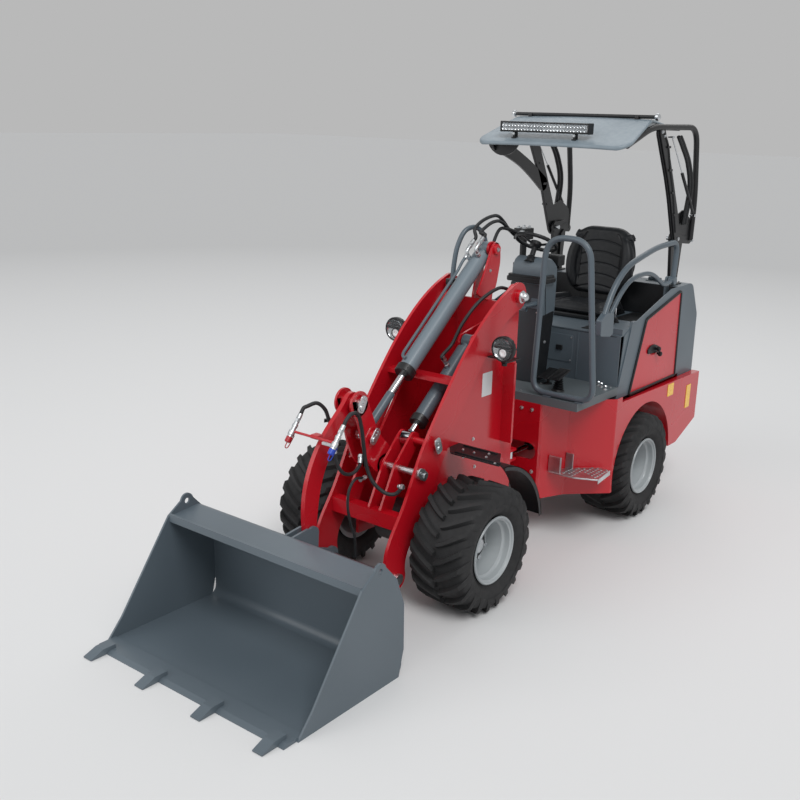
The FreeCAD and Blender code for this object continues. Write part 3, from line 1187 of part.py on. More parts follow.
def canopy_frame():
    """The folding arms, the rails under the roof and the rear stays."""
    arm_x, arm_z = rear + 4, d.roof_top - 227
    fold = Vector(rear - d.fold_back, 0, d.fold_height)
    inner = d.post_half + 12 + d.running_gap
    y = (inner, inner + 18)
    arm = band(((0.5, 26, 40),), (fold.x, fold.z), (arm_x, arm_z), 44, 52, y)
    rail = band(((0.5, 14, 26),), (arm_x, arm_z + 12), (rear - d.roof_rear + 70, d.roof_top - 68), 30, 24, y)
    stay = Part.makeCylinder(13, (d.roof_top - 105 - fold.z), Vector(fold.x, inner + 13, fold.z + 30),
                             Vector(0, 0, 1))
    bore = Part.makeCylinder(16 + d.pin_gap, 200, Vector(fold.x, inner - 50, fold.z), Vector(0, 1, 0))
    side = arm.fuse([rail, stay]).cut(bore)
    cross = Part.makeCylinder(22, 2 * inner + 10, Vector(arm_x, -inner - 5, arm_z), Vector(0, 1, 0))
    other = side.mirror(Vector(0, 0, 0), Vector(0, 1, 0))
    return side.fuse([other, cross]).removeSplitter()


def roof():
    """A thin moulded roof, falling to the front and narrower at the rear, with round corners."""
    front = rear + d.roof_front
    back = rear - d.roof_rear
    top = d.roof_top
    path = [(front, top - d.roof_drop - 22), (front - 45, top - d.roof_drop), (rear - 290, top),
            (back, top - 50)]
    skin = bent(path, 30, d.roof_sheet, (-d.roof_half, d.roof_half))
    half, narrow = d.roof_half, d.roof_half - 80
    plan = rounded_path([(front, 0, 0), (front, half, 0), (back, narrow, 0), (back, -narrow, 0),
                         (front, -half, 0), (front, 0, 0)], 110)
    column = Part.Face(plan).extrude(Vector(0, 0, 4000))
    return skin.common(column).removeSplitter()


def roof_fittings(roof_shape):
    """The light bar near the roof's front edge and the beacon at its rear, seated on the roof."""
    x, z = rear + d.roof_front - 75, d.roof_top - d.roof_drop + 60
    bar = Part.makeBox(60, 760, 55, Vector(x - 30, -450, z))
    feet = [Part.makeBox(40, 16, 90, Vector(x - 20, y, z - 85)) for y in (-380, 230)]
    seated = bar.fuse(feet).removeSplitter().cut(roof_shape)
    shape_node(max(seated.Solids, key=lambda solid: solid.Volume), "light_bar")
    x, z = rear - 400, d.roof_top - 45
    base = Part.makeCylinder(58, 70, Vector(x, 0, z))
    dome = Part.makeSphere(52, Vector(x, 0, z + 68), Vector(0, 0, 1), 0, 90)
    seated = base.fuse(dome).removeSplitter().cut(roof_shape)
    shape_node(max(seated.Solids, key=lambda solid: solid.Volume), "beacon")


node(canopy_posts(), "canopy_posts")
frame_shape = canopy_frame()
roof_shape = roof()
shape_node(frame_shape.cut(roof_shape).removeSplitter(), "canopy_frame")
shape_node(roof_shape, "canopy_roof")
roof_fittings(roof_shape)


# ---------------------------------------------------------------- check and write
doc.recompute()
for piece in doc.Objects:
    if "Invalid" in piece.State or "Error" in piece.State:
        raise RuntimeError(f"{piece.Name} failed: {piece.State}")
for piece in nodes:
    if piece.Shape.isNull() or not piece.Shape.isValid():
        raise RuntimeError(f"{piece.Label} has no valid shape")
for piece in nodes:
    piece.Shape.exportStep(f"parts/{piece.Label}.step")
    print(f"{piece.Label}: {len(piece.Shape.Solids)} solid(s), {piece.Shape.Volume / 1e6:.3f} litres")
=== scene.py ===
"""Looks of a compact wheel loader: enamelled steel, lugged tyres, a padded seat, hoses and lamps.

Everything is in metres, with X forward to the bucket, Y to the driver's left and Z up.
"""
import json
import math

import bmesh
import bpy
import numpy as np
from mathutils import Matrix, Vector


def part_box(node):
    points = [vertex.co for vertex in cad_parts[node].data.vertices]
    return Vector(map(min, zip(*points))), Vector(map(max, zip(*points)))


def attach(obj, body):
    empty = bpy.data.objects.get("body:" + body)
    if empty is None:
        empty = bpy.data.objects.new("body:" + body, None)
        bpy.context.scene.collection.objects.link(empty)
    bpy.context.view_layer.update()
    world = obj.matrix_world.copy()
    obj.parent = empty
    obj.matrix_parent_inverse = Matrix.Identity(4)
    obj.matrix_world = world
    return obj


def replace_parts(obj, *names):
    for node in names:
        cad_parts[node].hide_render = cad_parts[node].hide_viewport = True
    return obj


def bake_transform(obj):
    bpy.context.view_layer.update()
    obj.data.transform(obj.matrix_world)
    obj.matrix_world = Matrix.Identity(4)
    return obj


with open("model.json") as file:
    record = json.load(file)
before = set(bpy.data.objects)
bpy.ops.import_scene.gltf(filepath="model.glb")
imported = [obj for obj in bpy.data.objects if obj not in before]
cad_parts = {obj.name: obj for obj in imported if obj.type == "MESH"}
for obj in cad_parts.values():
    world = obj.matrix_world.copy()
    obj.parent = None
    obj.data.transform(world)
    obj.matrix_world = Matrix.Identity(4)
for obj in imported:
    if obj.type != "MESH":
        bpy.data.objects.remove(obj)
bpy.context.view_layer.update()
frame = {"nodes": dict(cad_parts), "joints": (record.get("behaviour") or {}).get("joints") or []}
nodes = frame["nodes"]
joint_at = {j["name"]: np.array(j["pos_m"]) for j in frame["joints"] if "pos_m" in j}


AHEAD, LEFT, UP = (1, 0, 0), (0, 1, 0), (0, 0, 1)


def box(node):
    """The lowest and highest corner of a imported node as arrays."""
    low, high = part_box(node)
    return np.array(low), np.array(high)


# ---------------------------------------------------------------- materials
def linear(code):
    """An sRGB hex code as linear red, green, blue and a full alpha."""
    parts = [int(code[n:n + 2], 16) / 255 for n in (0, 2, 4)]
    return tuple(c / 12.92 if c <= 0.04045 else ((c + 0.055) / 1.055) ** 2.4
                 for c in parts) + (1.0,)


def add(tree, kind, settings=None, **links):
    """A node of this kind, its settings by socket or property name, and its inputs linked by
    name."""
    made = tree.nodes.new(kind)
    for name, value in (settings or {}).items():
        if name in made.inputs:
            made.inputs[name].default_value = value
        else:
            setattr(made, name, value)
    for name, source in links.items():
        socket = made.inputs[int(name[1:])] if name[0] == "_" else made.inputs[name.replace("_",
                " ")]
        tree.links.new(source, socket)
    return made


def new_material(name, **sockets):
    """An empty material with a Principled shader whose sockets are set; gives the tree and
    shader."""
    made = bpy.data.materials.new(name)
    made.use_nodes = True
    tree = made.node_tree
    shader = tree.nodes["Principled BSDF"]
    for socket, value in sockets.items():
        shader.inputs[socket.replace("_", " ")].default_value = value
    return made, tree, shader


def ramp(tree, source, *stops):
    """A colour ramp over a factor; each stop is (place, hex code)."""
    made = add(tree, "ShaderNodeValToRGB", None, Fac=source)
    ends = made.color_ramp.elements
    while len(ends) < len(stops):
        ends.new(0.5)
    for end, (place, code) in zip(ends, stops):
        end.position, end.color = place, linear(code)
    return made.outputs["Color"]


def span(tree, source, low, high, start=0.0, stop=1.0):
    """A factor from start..stop carried to low..high."""
    made = add(tree, "ShaderNodeMapRange", {"From Min": start, "From Max": stop, "To Min": low,
                                            "To Max": high}, Value=source)
    return made.outputs["Result"]


def noise(tree, size_mm, detail=3.0, rough=0.5, stretch=(1, 1, 1)):
    """Noise whose blotches are about size_mm across, in Object coordinates."""
    place = add(tree, "ShaderNodeTexCoord").outputs["Object"]
    place = add(tree, "ShaderNodeMapping", {"Scale": stretch}, Vector=place).outputs["Vector"]
    made = add(tree, "ShaderNodeTexNoise", {"Scale": 1000 / size_mm / 2, "Detail": detail,
                                            "Roughness": rough}, Vector=place)
    return made.outputs["Fac"]


def feed(tree, shader, **sources):
    """Links sources into the shader's sockets of these names."""
    for socket, source in sources.items():
        tree.links.new(source, shader.inputs[socket.replace("_", " ")])


def bump(tree, shader, height, depth_mm, strength=1.0):
    """Surface relief of this depth on the shader's normal."""
    made = add(tree, "ShaderNodeBump", {"Strength": strength, "Distance": depth_mm / 1000},
               Height=height)
    feed(tree, shader, Normal=made.outputs["Normal"])


def enamel(name, base, light, rough=(0.22, 0.34), coat=0.35):
    """Sprayed and baked enamel on steel: a glossy coat with faint orange peel and dust in
    patches."""
    made, tree, shader = new_material(name, IOR=1.5, Coat_Weight=coat, Coat_Roughness=0.12)
    patches = noise(tree, 420, 1)
    colour = ramp(tree, patches, (0.30, base), (0.75, light))
    feed(tree, shader, Base_Color=colour, Roughness=span(tree, noise(tree, 300, 1), rough[0],
                                                         rough[1], 0.3, 0.7))
    bump(tree, shader, noise(tree, 3.5, 2), 0.05, 0.25)
    return made


def moulded(name, base, light, rough=0.5, grain_mm=1.6, depth=0.12):
    """Injection-moulded plastic with a fine leather-like grain."""
    made, tree, shader = new_material(name, IOR=1.46)
    colour = ramp(tree, noise(tree, 120, 4), (0.3, base), (0.7, light))
    feed(tree, shader, Base_Color=colour, Roughness=span(tree, noise(tree, 14, 3), rough - 0.06,
                                                         rough + 0.08, 0.3, 0.7))
    bump(tree, shader, noise(tree, grain_mm, 2), depth, 0.5)
    return made


def bare_metal(name, base, light, rough=(0.18, 0.32), scratch_mm=1.2):
    """Plated or machined steel with fine tool marks."""
    made, tree, shader = new_material(name, Metallic=1.0)
    colour = ramp(tree, noise(tree, 45, 4), (0.3, base), (0.7, light))
    feed(tree, shader, Base_Color=colour)
    marks = noise(tree, scratch_mm, 2)
    feed(tree, shader, Roughness=span(tree, marks, rough[0], rough[1], 0.3, 0.7))
    bump(tree, shader, marks, 0.03, 0.3)
    return made


# gloss enamel over primed plate: deep red with a slightly dusty, paler bloom
red = enamel("red_stoving_enamel", "b50d1c", "c81a28")
# satin enamel on the bucket and the cabinet: blue-grey, a little duller where it was handled
grey = enamel("graphite_enamel", "525d65", "606b73", (0.34, 0.48), 0.12)
# the tubes, the rails and the lift cylinder's barrel carry the same grey in a smoother coat
tube_grey = enamel("graphite_tube_enamel", "4d5860", "59656e", (0.30, 0.42), 0.15)
# the tilt cylinder's barrel: the same grey drawn paler, painted light for the light that falls on
# the barrel
lit_barrel_grey = enamel("cylinder_enamel", "68747d", "78848c", (0.28, 0.4), 0.2)
# the console's lower panel: painted shade, the cover's grey drawn much darker for the shadow that
# falls on the panel's front
shaded_panel_grey = enamel("charcoal_enamel", "2a2f34", "343a3f", (0.34, 0.48), 0.1)
# the driver's floor: a paler, duller grey, scuffed by boots
floor_grey = enamel("floor_plate_enamel", "565e62", "656d70", (0.42, 0.6), 0.05)
# black chassis paint on axles, canopy posts and arms
black = enamel("black_chassis_enamel", "101113", "1c1d20", (0.32, 0.5), 0.1)
# hard chrome on piston rods: near mirror
chrome = bare_metal("hard_chrome", "c8cbce", "dfe2e5", (0.05, 0.12))
# bright zinc on pins, bolts and the tread of the step
zinc = bare_metal("bright_zinc", "c0c4c7", "dfe2e4", (0.25, 0.42))
# silver wheel enamel: a light metallic lacquer
silver = enamel("silver_wheel_enamel", "8e9497", "a9aeb0", (0.3, 0.42), 0.2)
# raw cast iron of the engine block, seen through the wheel arches only
iron = moulded("cast_iron_skin", "17181a", "26282b", 0.7, 2.4, 0.4)
# vulcanised tyre rubber, grey with road dust
rubber = moulded("tyre_rubber", "1a1a1b", "2b2b2c", 0.72, 2.2, 0.25)
# sewn vinyl cloth of the seat
vinyl = moulded("seat_vinyl", "121417", "1d2024", 0.48, 1.2, 0.15)
# black ABS mouldings
abs_black = moulded("black_abs", "101113", "191b1e", 0.42, 1.1, 0.1)
# rotomoulded polyethylene roof, blue-grey with a soft gloss
roof_plastic = moulded("roof_polyethylene", "76838c", "88949c", 0.36, 2.0, 0.03)

finish_of = {name: coat for coat, names in (
    (tube_grey, "arm_rail entry_loop lift_barrel"),
    (abs_black, "beacon controls front_fenders headlamps light_bar seat_shell steering_wheel"),
    (red, "bellcrank bodywork_left bodywork_right boom link rear_chassis side_panels "
          "tail_weight tower"),
    (grey, "bucket cabinet console cutting_edge hitch_frame hood"),
    (black, "canopy_frame canopy_posts front_axle rear_axle steer_barrel"),
    (roof_plastic, "canopy_roof"),
    (zinc, "crank_pin hitch_pin link_pin step"),
    (iron, "engine"),
    (chrome, "lift_rod steer_rod tilt_rod"),
    (floor_grey, "platform"),
    (vinyl, "seat_backrest seat_cushion"),
    (lit_barrel_grey, "tilt_barrel")) for name in names.split()}
for name, node in nodes.items():
    start = name.split("_")[0]
    coat = {"rim": silver, "tyre": rubber}.get(start) or finish_of[name]
    node.data.materials.clear()
    node.data.materials.append(coat)


# ---------------------------------------------------------------- surfaces
def skin(points, wrap_rows=False, wrap_columns=False, ends=False):
    """Faces over a grid of points (rows, columns, xyz); ends closes the first and the last row."""
    rows, columns = points.shape[:2]
    row, column = np.meshgrid(np.arange(rows if wrap_rows else rows - 1),
                              np.arange(columns if wrap_columns else columns - 1), indexing="ij")
    row_on, column_on = (row + 1) % rows, (column + 1) % columns
    faces = [np.stack([row * columns + column, row * columns + column_on,
                       row_on * columns + column_on, row_on * columns + column], -1).reshape(-1, 4)]
    if ends:
        faces += [np.arange(columns)[None, ::-1], np.arange(columns)[None] + (rows - 1) * columns]
    return points.reshape(-1, 3), faces


def unit(vectors):
    """Vectors divided by their lengths."""
    vectors = np.asarray(vectors, float)
    return vectors / np.linalg.norm(vectors, axis=-1, keepdims=True)


def through(points, count):
    """A smooth line through points: on each run the cubic of the four nearest points
    (Catmull-Rom)."""
    points = np.asarray(points, float)
    held = np.vstack([2 * points[:1] - points[1:2], points, 2 * points[-1:] - points[-2:-1]])
    place = np.linspace(0, len(points) - 1 - 1e-9, count)
    run = place.astype(int)
    part = (place - run)[:, None]
    a, b, c, d = (held[run + n] for n in range(4))
    return (2 * b + (c - a) * part + (2 * a - 5 * b + 4 * c - d) * part ** 2
            + (3 * b - a - 3 * c + d) * part ** 3) / 2


def turns(count):
    """Angles that share a whole turn equally."""
    return np.linspace(0, 2 * np.pi, count, endpoint=False)


def circle(radius, count=20):
    """Points (a, b) round a circle, or round an ellipse of two radii."""
    turn = turns(count)
    return np.stack([np.cos(turn), np.sin(turn)], -1) * radius


def corner_arcs(corners, before, after, reach, steps):
    """A parabola at each corner, from a reach towards the point before it to a reach towards the
    next."""
    start = corners + unit(before - corners) * reach
    stop = corners + unit(after - corners) * reach
    part = np.linspace(0, 1, steps)[None, :, None]
    first, middle, last = (1 - part) ** 2, 2 * part * (1 - part), part ** 2
    return first * start[:, None] + middle * corners[:, None] + last * stop[:, None]


def eased(corners, radii, steps=6):
    """A closed outline whose corners are rounded from a radius before them to a radius past
    them."""
    corners = np.asarray(corners, float)
    radii = np.broadcast_to(np.asarray(radii, float), len(corners))[:, None]
    curve = corner_arcs(corners, np.roll(corners, 1, 0), np.roll(corners, -1, 0), radii, steps)
    return curve.reshape(-1, 2)


def bent(points, reach, steps=8):
    """An open line of straight runs whose inner corners are rounded from a reach away."""
    points = np.asarray(points, float)
    reach = np.broadcast_to(np.asarray(reach, float), len(points) - 2)[:, None]
    curve = corner_arcs(points[1:-1], points[:-2], points[2:], reach, steps)
    return np.vstack([points[:1], curve.reshape(-1, points.shape[1]), points[-1:]])


def swept(path, profile, up=UP, closed=False):
    """A profile (a, b) carried along a path: path + a * side + b * lift, with side = tangent x
    up."""
    path = np.asarray(path, float)
    tangent = unit(np.roll(path, -1, 0) - np.roll(path, 1, 0) if closed
                   else np.gradient(path, axis=0))
    side = unit(np.cross(tangent, up))
    lift = np.cross(side, tangent)
    profile = np.broadcast_to(profile, (len(path),) + np.shape(profile)[-2:])
    points = (path[:, None] + profile[..., :1] * side[:, None] + profile[..., 1:] * lift[:, None])
    return skin(points, closed, True, not closed)


def turned(profile, centre, axis, count=40):
    """A profile of (along, radius) pairs spun about an axis through a centre."""
    profile = np.asarray(profile, float)
    axis = unit(axis)
    side = unit(np.cross(axis, (0.31, 0.17, 0.93) if abs(axis[2]) < 0.9 else AHEAD))
    turn = turns(count)
    spokes = np.cos(turn)[:, None] * side + np.sin(turn)[:, None] * np.cross(axis, side)
    points = (np.asarray(centre, float) + profile[:, None, :1] * axis + profile[:, None, 1:]
              * spokes[None])
    return skin(points, False, True, True)


def plain_rod(start, stop, radius, centre, axis, count=40):
    """A plain round rod from start to stop along an axis through a centre."""
    return turned([(start, 0), (start, radius), (stop, radius), (stop, 0)], centre, axis, count)


def slab(outline, low, high, across="y", edge=0.0):
    """A plate: a closed outline carried from low to high across itself, its rims eased by edge."""
    outline = np.asarray(outline, float)
    tangent = unit(np.roll(outline, -1, 0) - np.roll(outline, 1, 0) + 1e-12)
    outward = np.stack([tangent[:, 1], -tangent[:, 0]], -1)
    turn = np.roll(outline, -1, 0)
    if (outline[:, 0] * turn[:, 1] - turn[:, 0] * outline[:, 1]).sum() < 0:
        outward = -outward
    levels = [(low, edge), (low + edge, 0), (high - edge, 0), (high, edge)] if edge else [(low, 0),
            (high, 0)]
    layers = np.stack([outline - outward * inset for _, inset in levels])
    depth = np.array([level for level, _ in levels])[:, None].repeat(len(outline), 1)
    order = {"x": (2, 0, 1), "y": (0, 2, 1), "z": (0, 1, 2)}[across]
    points = np.stack([layers[..., 0], layers[..., 1], depth], -1)[..., order]
    return skin(points, False, True, True)


def off(base, offsets):
    """Points given by their offsets from a base."""
    return [tuple(start + step for start, step in zip(base, offset)) for offset in offsets]


def oblong(a0, b0, a1, b1):
    """The four corners of an oblong."""
    return [(a0, b0), (a1, b0), (a1, b1), (a0, b1)]


def placed(part, matrix):
    """A part moved by a 4 x 4 matrix."""
    points, faces = part
    matrix = np.array(matrix)
    return points @ matrix[:3, :3].T + matrix[:3, 3], faces


def mirrored(part):
    """A part and its mirror image across the middle of the machine, one part."""
    points, faces = part
    return (np.vstack([points, points * (1, -1, 1)]), faces + [face[:, ::-1] + len(points)
                                                               for face in faces])


def both(parts):
    """Each part with its mirror image."""
    return [mirrored(part) for part in parts]


def put(name, data):
    """An object with this data, in the scene."""
    made = bpy.data.objects.new(name, data)
    bpy.context.scene.collection.objects.link(made)
    return made


def joined(name, parts, merge=True):
    """A mesh of several parts with its faces outward and, unless merge is off, its doubles
    merged."""
    starts = np.cumsum([0] + [len(points) for points, _ in parts])
    corners = sum([(face + start).tolist() for start, (_, faces) in zip(starts, parts)
                   for face in faces], [])
    mesh = bpy.data.meshes.new(name)
    mesh.from_pydata(np.concatenate([points for points, _ in parts]).tolist(), [], corners)
    edit = bmesh.new()
    edit.from_mesh(mesh)
    if merge:
        bmesh.ops.remove_doubles(edit, verts=edit.verts, dist=1e-6)
    bmesh.ops.recalc_face_normals(edit, faces=edit.faces)
    edit.to_mesh(mesh)
    edit.free()
    return mesh


def ring_of(loop, hub, count):
    """A closed loop of (across, radius) pairs carried round an axle through hub."""
    turn = turns(count)
    radial = np.stack([np.cos(turn), 0 * turn, np.sin(turn)], -1)
    points = hub + loop[None, :, :1] * LEFT + loop[None, :, 1:] * radial[:, None]
    return skin(points, True, True)


def piece(name, body, coat, parts, stands_for=(), angle=32):
    """One object from several parts, smooth where its faces meet below the angle."""
    mesh = joined(name, parts)
    mesh.polygons.foreach_set("use_smooth", np.ones(len(mesh.polygons), bool))
    mesh.set_sharp_from_angle(angle=math.radians(angle))
    mesh.materials.append(coat)
    made = put(name, mesh)
    if stands_for:
        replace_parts(made, *stands_for)
    if body:
        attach(made, body)
    return made


def hose(points, radius, count=60, up=LEFT, sides=14):
    """A round hose along a smooth line through points."""
    return swept(through(points, count), circle(radius, sides), up)


def hexagon(centre, axis, across, height, washer=1.35):
    """A hexagon bolt head with a chamfered top, on a round washer."""
    r = across / 2
    head = turned([(0, r), (height * 0.82, r), (height, r * 0.82), (height, 0)], centre, axis, 6)
    disc = plain_rod(-0.002, height * 0.18, r * washer, centre, axis, 20)
    return [head, disc]


def bolt_set(places, axis, across, height):
    """Hexagon bolts of one size at several places."""
    return sum([hexagon(place, axis, across, height) for place in places], [])


# ---------------------------------------------------------------- wheels
LUGS, RIM_NUTS = 22, 6


def tyre(name, body, hub):
    """A lugged tyre. The carcass is its section spun about the axle; each lug is a bar of trapezoid
    section whose middle line leans back as it runs from the crown over the shoulder."""
    low, high = box(name)
    reach, half = (high[2] - low[2]) / 2, (high[1] - low[1]) / 2
    ground = reach - 0.030
    section = np.array([(0.55, 0.204), (0.72, 0.201), (0.80, 0.208), (0.83, 0.222), (0.93, 0.246),
                        (0.985, 0.278), (1.0, 0.300), (0.975, 0.324), (0.92, 0.343)])
    section[:, 0] *= half
    crown = np.array([(0.80, ground - 0.007), (0.60, ground - 0.002), (0.30, ground),
                      (0.0, ground)])
    crown[:, 0] *= half
    outer = through(np.vstack([section, crown]), 40)
    inner = np.array([(0.0, ground - 0.03), (half * 0.8, ground - 0.035), (half * 0.93, 0.30),
                      (half * 0.78, 0.222)])
    loop = np.vstack([outer, outer[-2::-1] * (-1, 1), inner[::-1] * (-1, 1), inner[1:]])
    carcass = ring_of(loop, hub, 132)
    # a lug's stations from the crown (0) to its foot on the sidewall (1)
    along = np.linspace(0, 1, 11)
    across = np.interp(along, [0, 0.85, 1], [0.0, 0.90, 0.985]) * half + 0.004
    lean = 0.36 * along ** 1.25
    top = np.interp(along, [0, 0.55, 0.80, 0.88, 1], [reach - 0.001, reach - 0.004, reach - 0.010,
                                                      reach - 0.020, 0.318])
    foot = np.interp(along, [0, 0.55, 0.85, 1], [ground - 0.006, ground - 0.008, 0.325, 0.285])
    narrow = np.interp(along, [0, 0.3, 1], [0.009, 0.012, 0.017])
    wide = narrow + np.interp(along, [0, 1], [0.011, 0.015])
    corner_r = np.stack([foot, top, top, foot], -1)
    corner_w = np.stack([-wide, -narrow, narrow, wide], -1)
    lugs = []
    for side in (1, -1):
        for number in range(LUGS):
            phase = 2 * np.pi * (number + (0.5 if side < 0 else 0)) / LUGS
            angle = phase + lean[:, None] + corner_w / corner_r
            lug = np.stack([corner_r * np.cos(angle), side * across[:, None] + 0 * angle,
                            corner_r * np.sin(angle)], -1)
            lugs.append(skin(hub + lug, False, True, True))
    piece(name + "_lugged", body, rubber, [carcass] + lugs, (name,), 28)


def rim(name, body, hub, side):
    """A pressed steel wheel: flanges and well spun as one section, a dished disc, nuts and a
    valve."""
    low, high = box(name)
    half = (high[1] - low[1]) / 2
    middle = (high[1] + low[1]) / 2
    flange = (high[2] - low[2]) / 2
    out = side * half
    section = [(out * 0.985, flange - 0.003), (out, flange - 0.008), (out * 0.985, flange - 0.014),
               (out * 0.93, flange - 0.018), (out * 0.90, flange - 0.026),
               (out * 0.70, flange - 0.030), (out * 0.64, flange - 0.044),
               (out * 0.50, flange - 0.048), (out * 0.30, flange - 0.056),
               (out * 0.05, flange - 0.060), (-out * 0.90, flange - 0.030), (-out, flange - 0.006),
               (-out, flange), (-out * 0.96, flange), (-out * 0.86, flange - 0.022),
               (out * 0.05, flange - 0.052), (out * 0.50, flange - 0.040),
               (out * 0.64, flange - 0.036), (out * 0.86, flange - 0.020), (out * 0.95, flange)]
    centre = np.array([hub[0], middle, hub[2]])
    barrel = ring_of(np.array(section), centre, 96)
    dish = turned([(0.012, flange - 0.050), (0.004, flange - 0.066), (0.010, 0.118), (0.030, 0.102),
                   (0.034, 0.072), (0.034, 0.0), (0.024, 0.0), (0.024, 0.070), (0.0, 0.110),
                   (-0.008, flange - 0.062), (-0.002, flange - 0.046)], centre, (0, side, 0), 96)
    fittings = []
    for number in range(RIM_NUTS):
        angle = math.radians(360 / RIM_NUTS * number + 15)
        at = centre + np.array([0.088 * math.cos(angle), side * 0.034, 0.088 * math.sin(angle)])
        fittings += hexagon(at, (0, side, 0), 0.030, 0.018, 1.25)
    hub_cap = turned([(0.030, 0.048), (0.060, 0.046), (0.066, 0.038), (0.066, 0.0)], centre,
                     (0, side, 0), 40)
    angle = math.radians(62)
    stem = centre + np.array([0.160 * math.cos(angle), side * (half * 0.30),
                              0.160 * math.sin(angle)])
    valve = turned([(0, 0.007), (0.022, 0.0055), (0.032, 0.004), (0.040, 0.004), (0.040, 0)], stem,
                   (-0.4 * math.cos(angle), side, -0.4 * math.sin(angle)), 14)
    piece(name + "_pressed", body, silver, [barrel, dish], (name,), 30)
    piece(name + "_nuts", body, zinc, fittings + [hub_cap, valve], (), 30)


for end in ("front", "rear"):
    for hand, side in (("left", 1), ("right", -1)):
        place = joint_at[f"{end}_{hand}_wheel"]
        tyre(f"tyre_{end}_{hand}", f"{end}_{hand}", place)
        rim(f"rim_{end}_{hand}", f"{end}_{hand}", place, side)


# ---------------------------------------------------------------- working lamps
# clear polycarbonate lens with a slight grey tint
lens, tree, shader = new_material("polycarbonate_lens", Base_Color=linear("b4babd"), Roughness=0.04,
                                  IOR=1.5, Alpha=0.07)
bump(tree, shader, noise(tree, 9, 1), 0.2, 0.2)
# vapour-coated reflector behind the lens: bright, slightly rippled
reflector = bare_metal("vapour_reflector", "b9bec2", "e6e9eb", (0.08, 0.2), scratch_mm=8)
# frosted LED window: white with a faint cell pattern
led, tree, shader = new_material("frosted_led", Roughness=0.25)
feed(tree, shader, Base_Color=ramp(tree, noise(tree, 6, 1), (0.4, "e9ecee"), (0.6, "ffffff")))


def rounded(corners, radius, low, high, across="y", edge=0.0015):
    """A plate with rounded corners and eased rims."""
    return slab(eased(corners, radius), low, high, across, edge)


def block(low, high, radius=0.004, across="y", edge=0.001):
    """A box between two corners, its long edges rounded."""
    (a0, b0), (a1, b1) = {"x": ((low[1], low[2]), (high[1], high[2])),
                          "y": ((low[0], low[2]), (high[0], high[2])),
                          "z": (low[:2], high[:2])}[across]
    span_at = "xyz".index(across)
    return rounded(oblong(a0, b0, a1, b1), radius, low[span_at], high[span_at], across, edge)


def headlamp(side):
    """A round working lamp on its arm: a finned pot spun from its section, a bowl, a bar and a
    lens."""
    low, high = box("headlamps")
    radius = 0.079
    centre = np.array([high[0] - 0.004, side * (high[1] - 0.075), high[2] - 0.075])
    pot = turned([(-0.078, 0.0), (-0.078, 0.040), (-0.072, 0.047), (-0.052, 0.052), (-0.046, 0.070),
                  (-0.034, radius - 0.002), (-0.006, radius), (-0.001, radius - 0.002),
                  (0.002, radius - 0.006), (0.001, 0.068), (-0.012, 0.066), (-0.030, 0.040),
                  (-0.034, 0.0)], centre, AHEAD, 56)
    rib = slab([(-0.074, 0.046), (-0.036, 0.046), (-0.036, 0.0765), (-0.074, 0.058)], -0.002, 0.002,
               "z")
    ribs = []
    for angle in turns(14):
        turn = Matrix.Translation(centre) @ Matrix.Rotation(angle, 4, "X")
        ribs.append(placed(rib, turn))
    inner = box("tower")[1][1] - 0.085
    shelf = low[2] + 0.006
    arm = rounded([(low[0], side * inner), (high[0] - 0.100, side * inner),
                   (high[0] - 0.100, side * (centre[1] * side - 0.022)),
                   (high[0] - 0.030, side * (centre[1] * side - 0.018)),
                   (high[0] - 0.030, side * (centre[1] * side + 0.018)),
                   (low[0], side * (centre[1] * side + 0.018))], 0.010, shelf - 0.003,
                  shelf + 0.003, "z")
    stem = turned([(0, 0), (0, 0.017), (0.016, 0.017), (0.018, 0.011), (0.040, 0.011), (0.040, 0)],
                  (centre[0] - 0.035, centre[1], shelf - 0.018), UP, 24)
    yoke = rounded([(centre[0] - 0.050, shelf), (centre[0] - 0.020, shelf),
                    (centre[0] - 0.020, centre[2] - 0.066), (centre[0] - 0.050, centre[2] - 0.066)],
                   0.004, centre[1] - 0.016, centre[1] + 0.016)
    name = "left" if side > 0 else "right"
    stands_for = ("headlamps",) if side > 0 else ()
    piece(f"lamp_pot_{name}", "front_frame", abs_black, [pot, stem, yoke, arm]
          + ribs, stands_for)
    bowl = turned([(-0.033, 0.0), (-0.030, 0.030), (-0.018, 0.056), (-0.004, 0.068),
                   (-0.006, 0.070), (-0.034, 0.032), (-0.036, 0.0)], centre, AHEAD, 48)
    piece(f"lamp_bowl_{name}", "front_frame", reflector, [bowl])
    y, z = centre[1], centre[2]
    bar = rounded(off((y, z), [(-0.066, 0.001), (0.066, 0.001), (0.062, 0.020), (-0.062, 0.020)]),
                  0.005, centre[0] - 0.018, centre[0] - 0.003, "x", 0.002)
    ring = turned([(-0.026, 0.033), (-0.008, 0.033), (-0.005, 0.030), (-0.008, 0.026),
                   (-0.026, 0.026)], centre + (0, 0, -0.026), AHEAD, 36)
    piece(f"lamp_bar_{name}", "front_frame", abs_black, [bar, ring])
    bulb = turned([(-0.026, 0.026), (-0.010, 0.026), (-0.006, 0.018), (-0.010, 0.010),
                   (-0.014, 0.0)], centre + (0, 0, -0.026), AHEAD, 32)
    piece(f"lamp_led_{name}", "front_frame", led, [bulb])
    cover = turned([(-0.003, 0.0), (-0.003, 0.067), (0.000, 0.068), (0.003, 0.058), (0.006, 0.030),
                    (0.007, 0.0)], centre, AHEAD, 56)
    piece(f"lamp_lens_{name}", "front_frame", lens, [cover])


for side in (1, -1):
    headlamp(side)


# ---------------------------------------------------------------- linkage, cylinders and hoses
# radii of the pins' holes, of the hoses and of the two barrels, and the barrels' lengths
PIN_HOLE, HOSE_R, LOOP_HOSE_R, BUCKET_HOSE_R = 0.0202, 0.0115, 0.0105, 0.0085
TILT_BARREL_R, TILT_BARREL_LENGTH, LIFT_BARREL_R, LIFT_BARREL_LENGTH = 0.058, 1.095, 0.050, 0.674
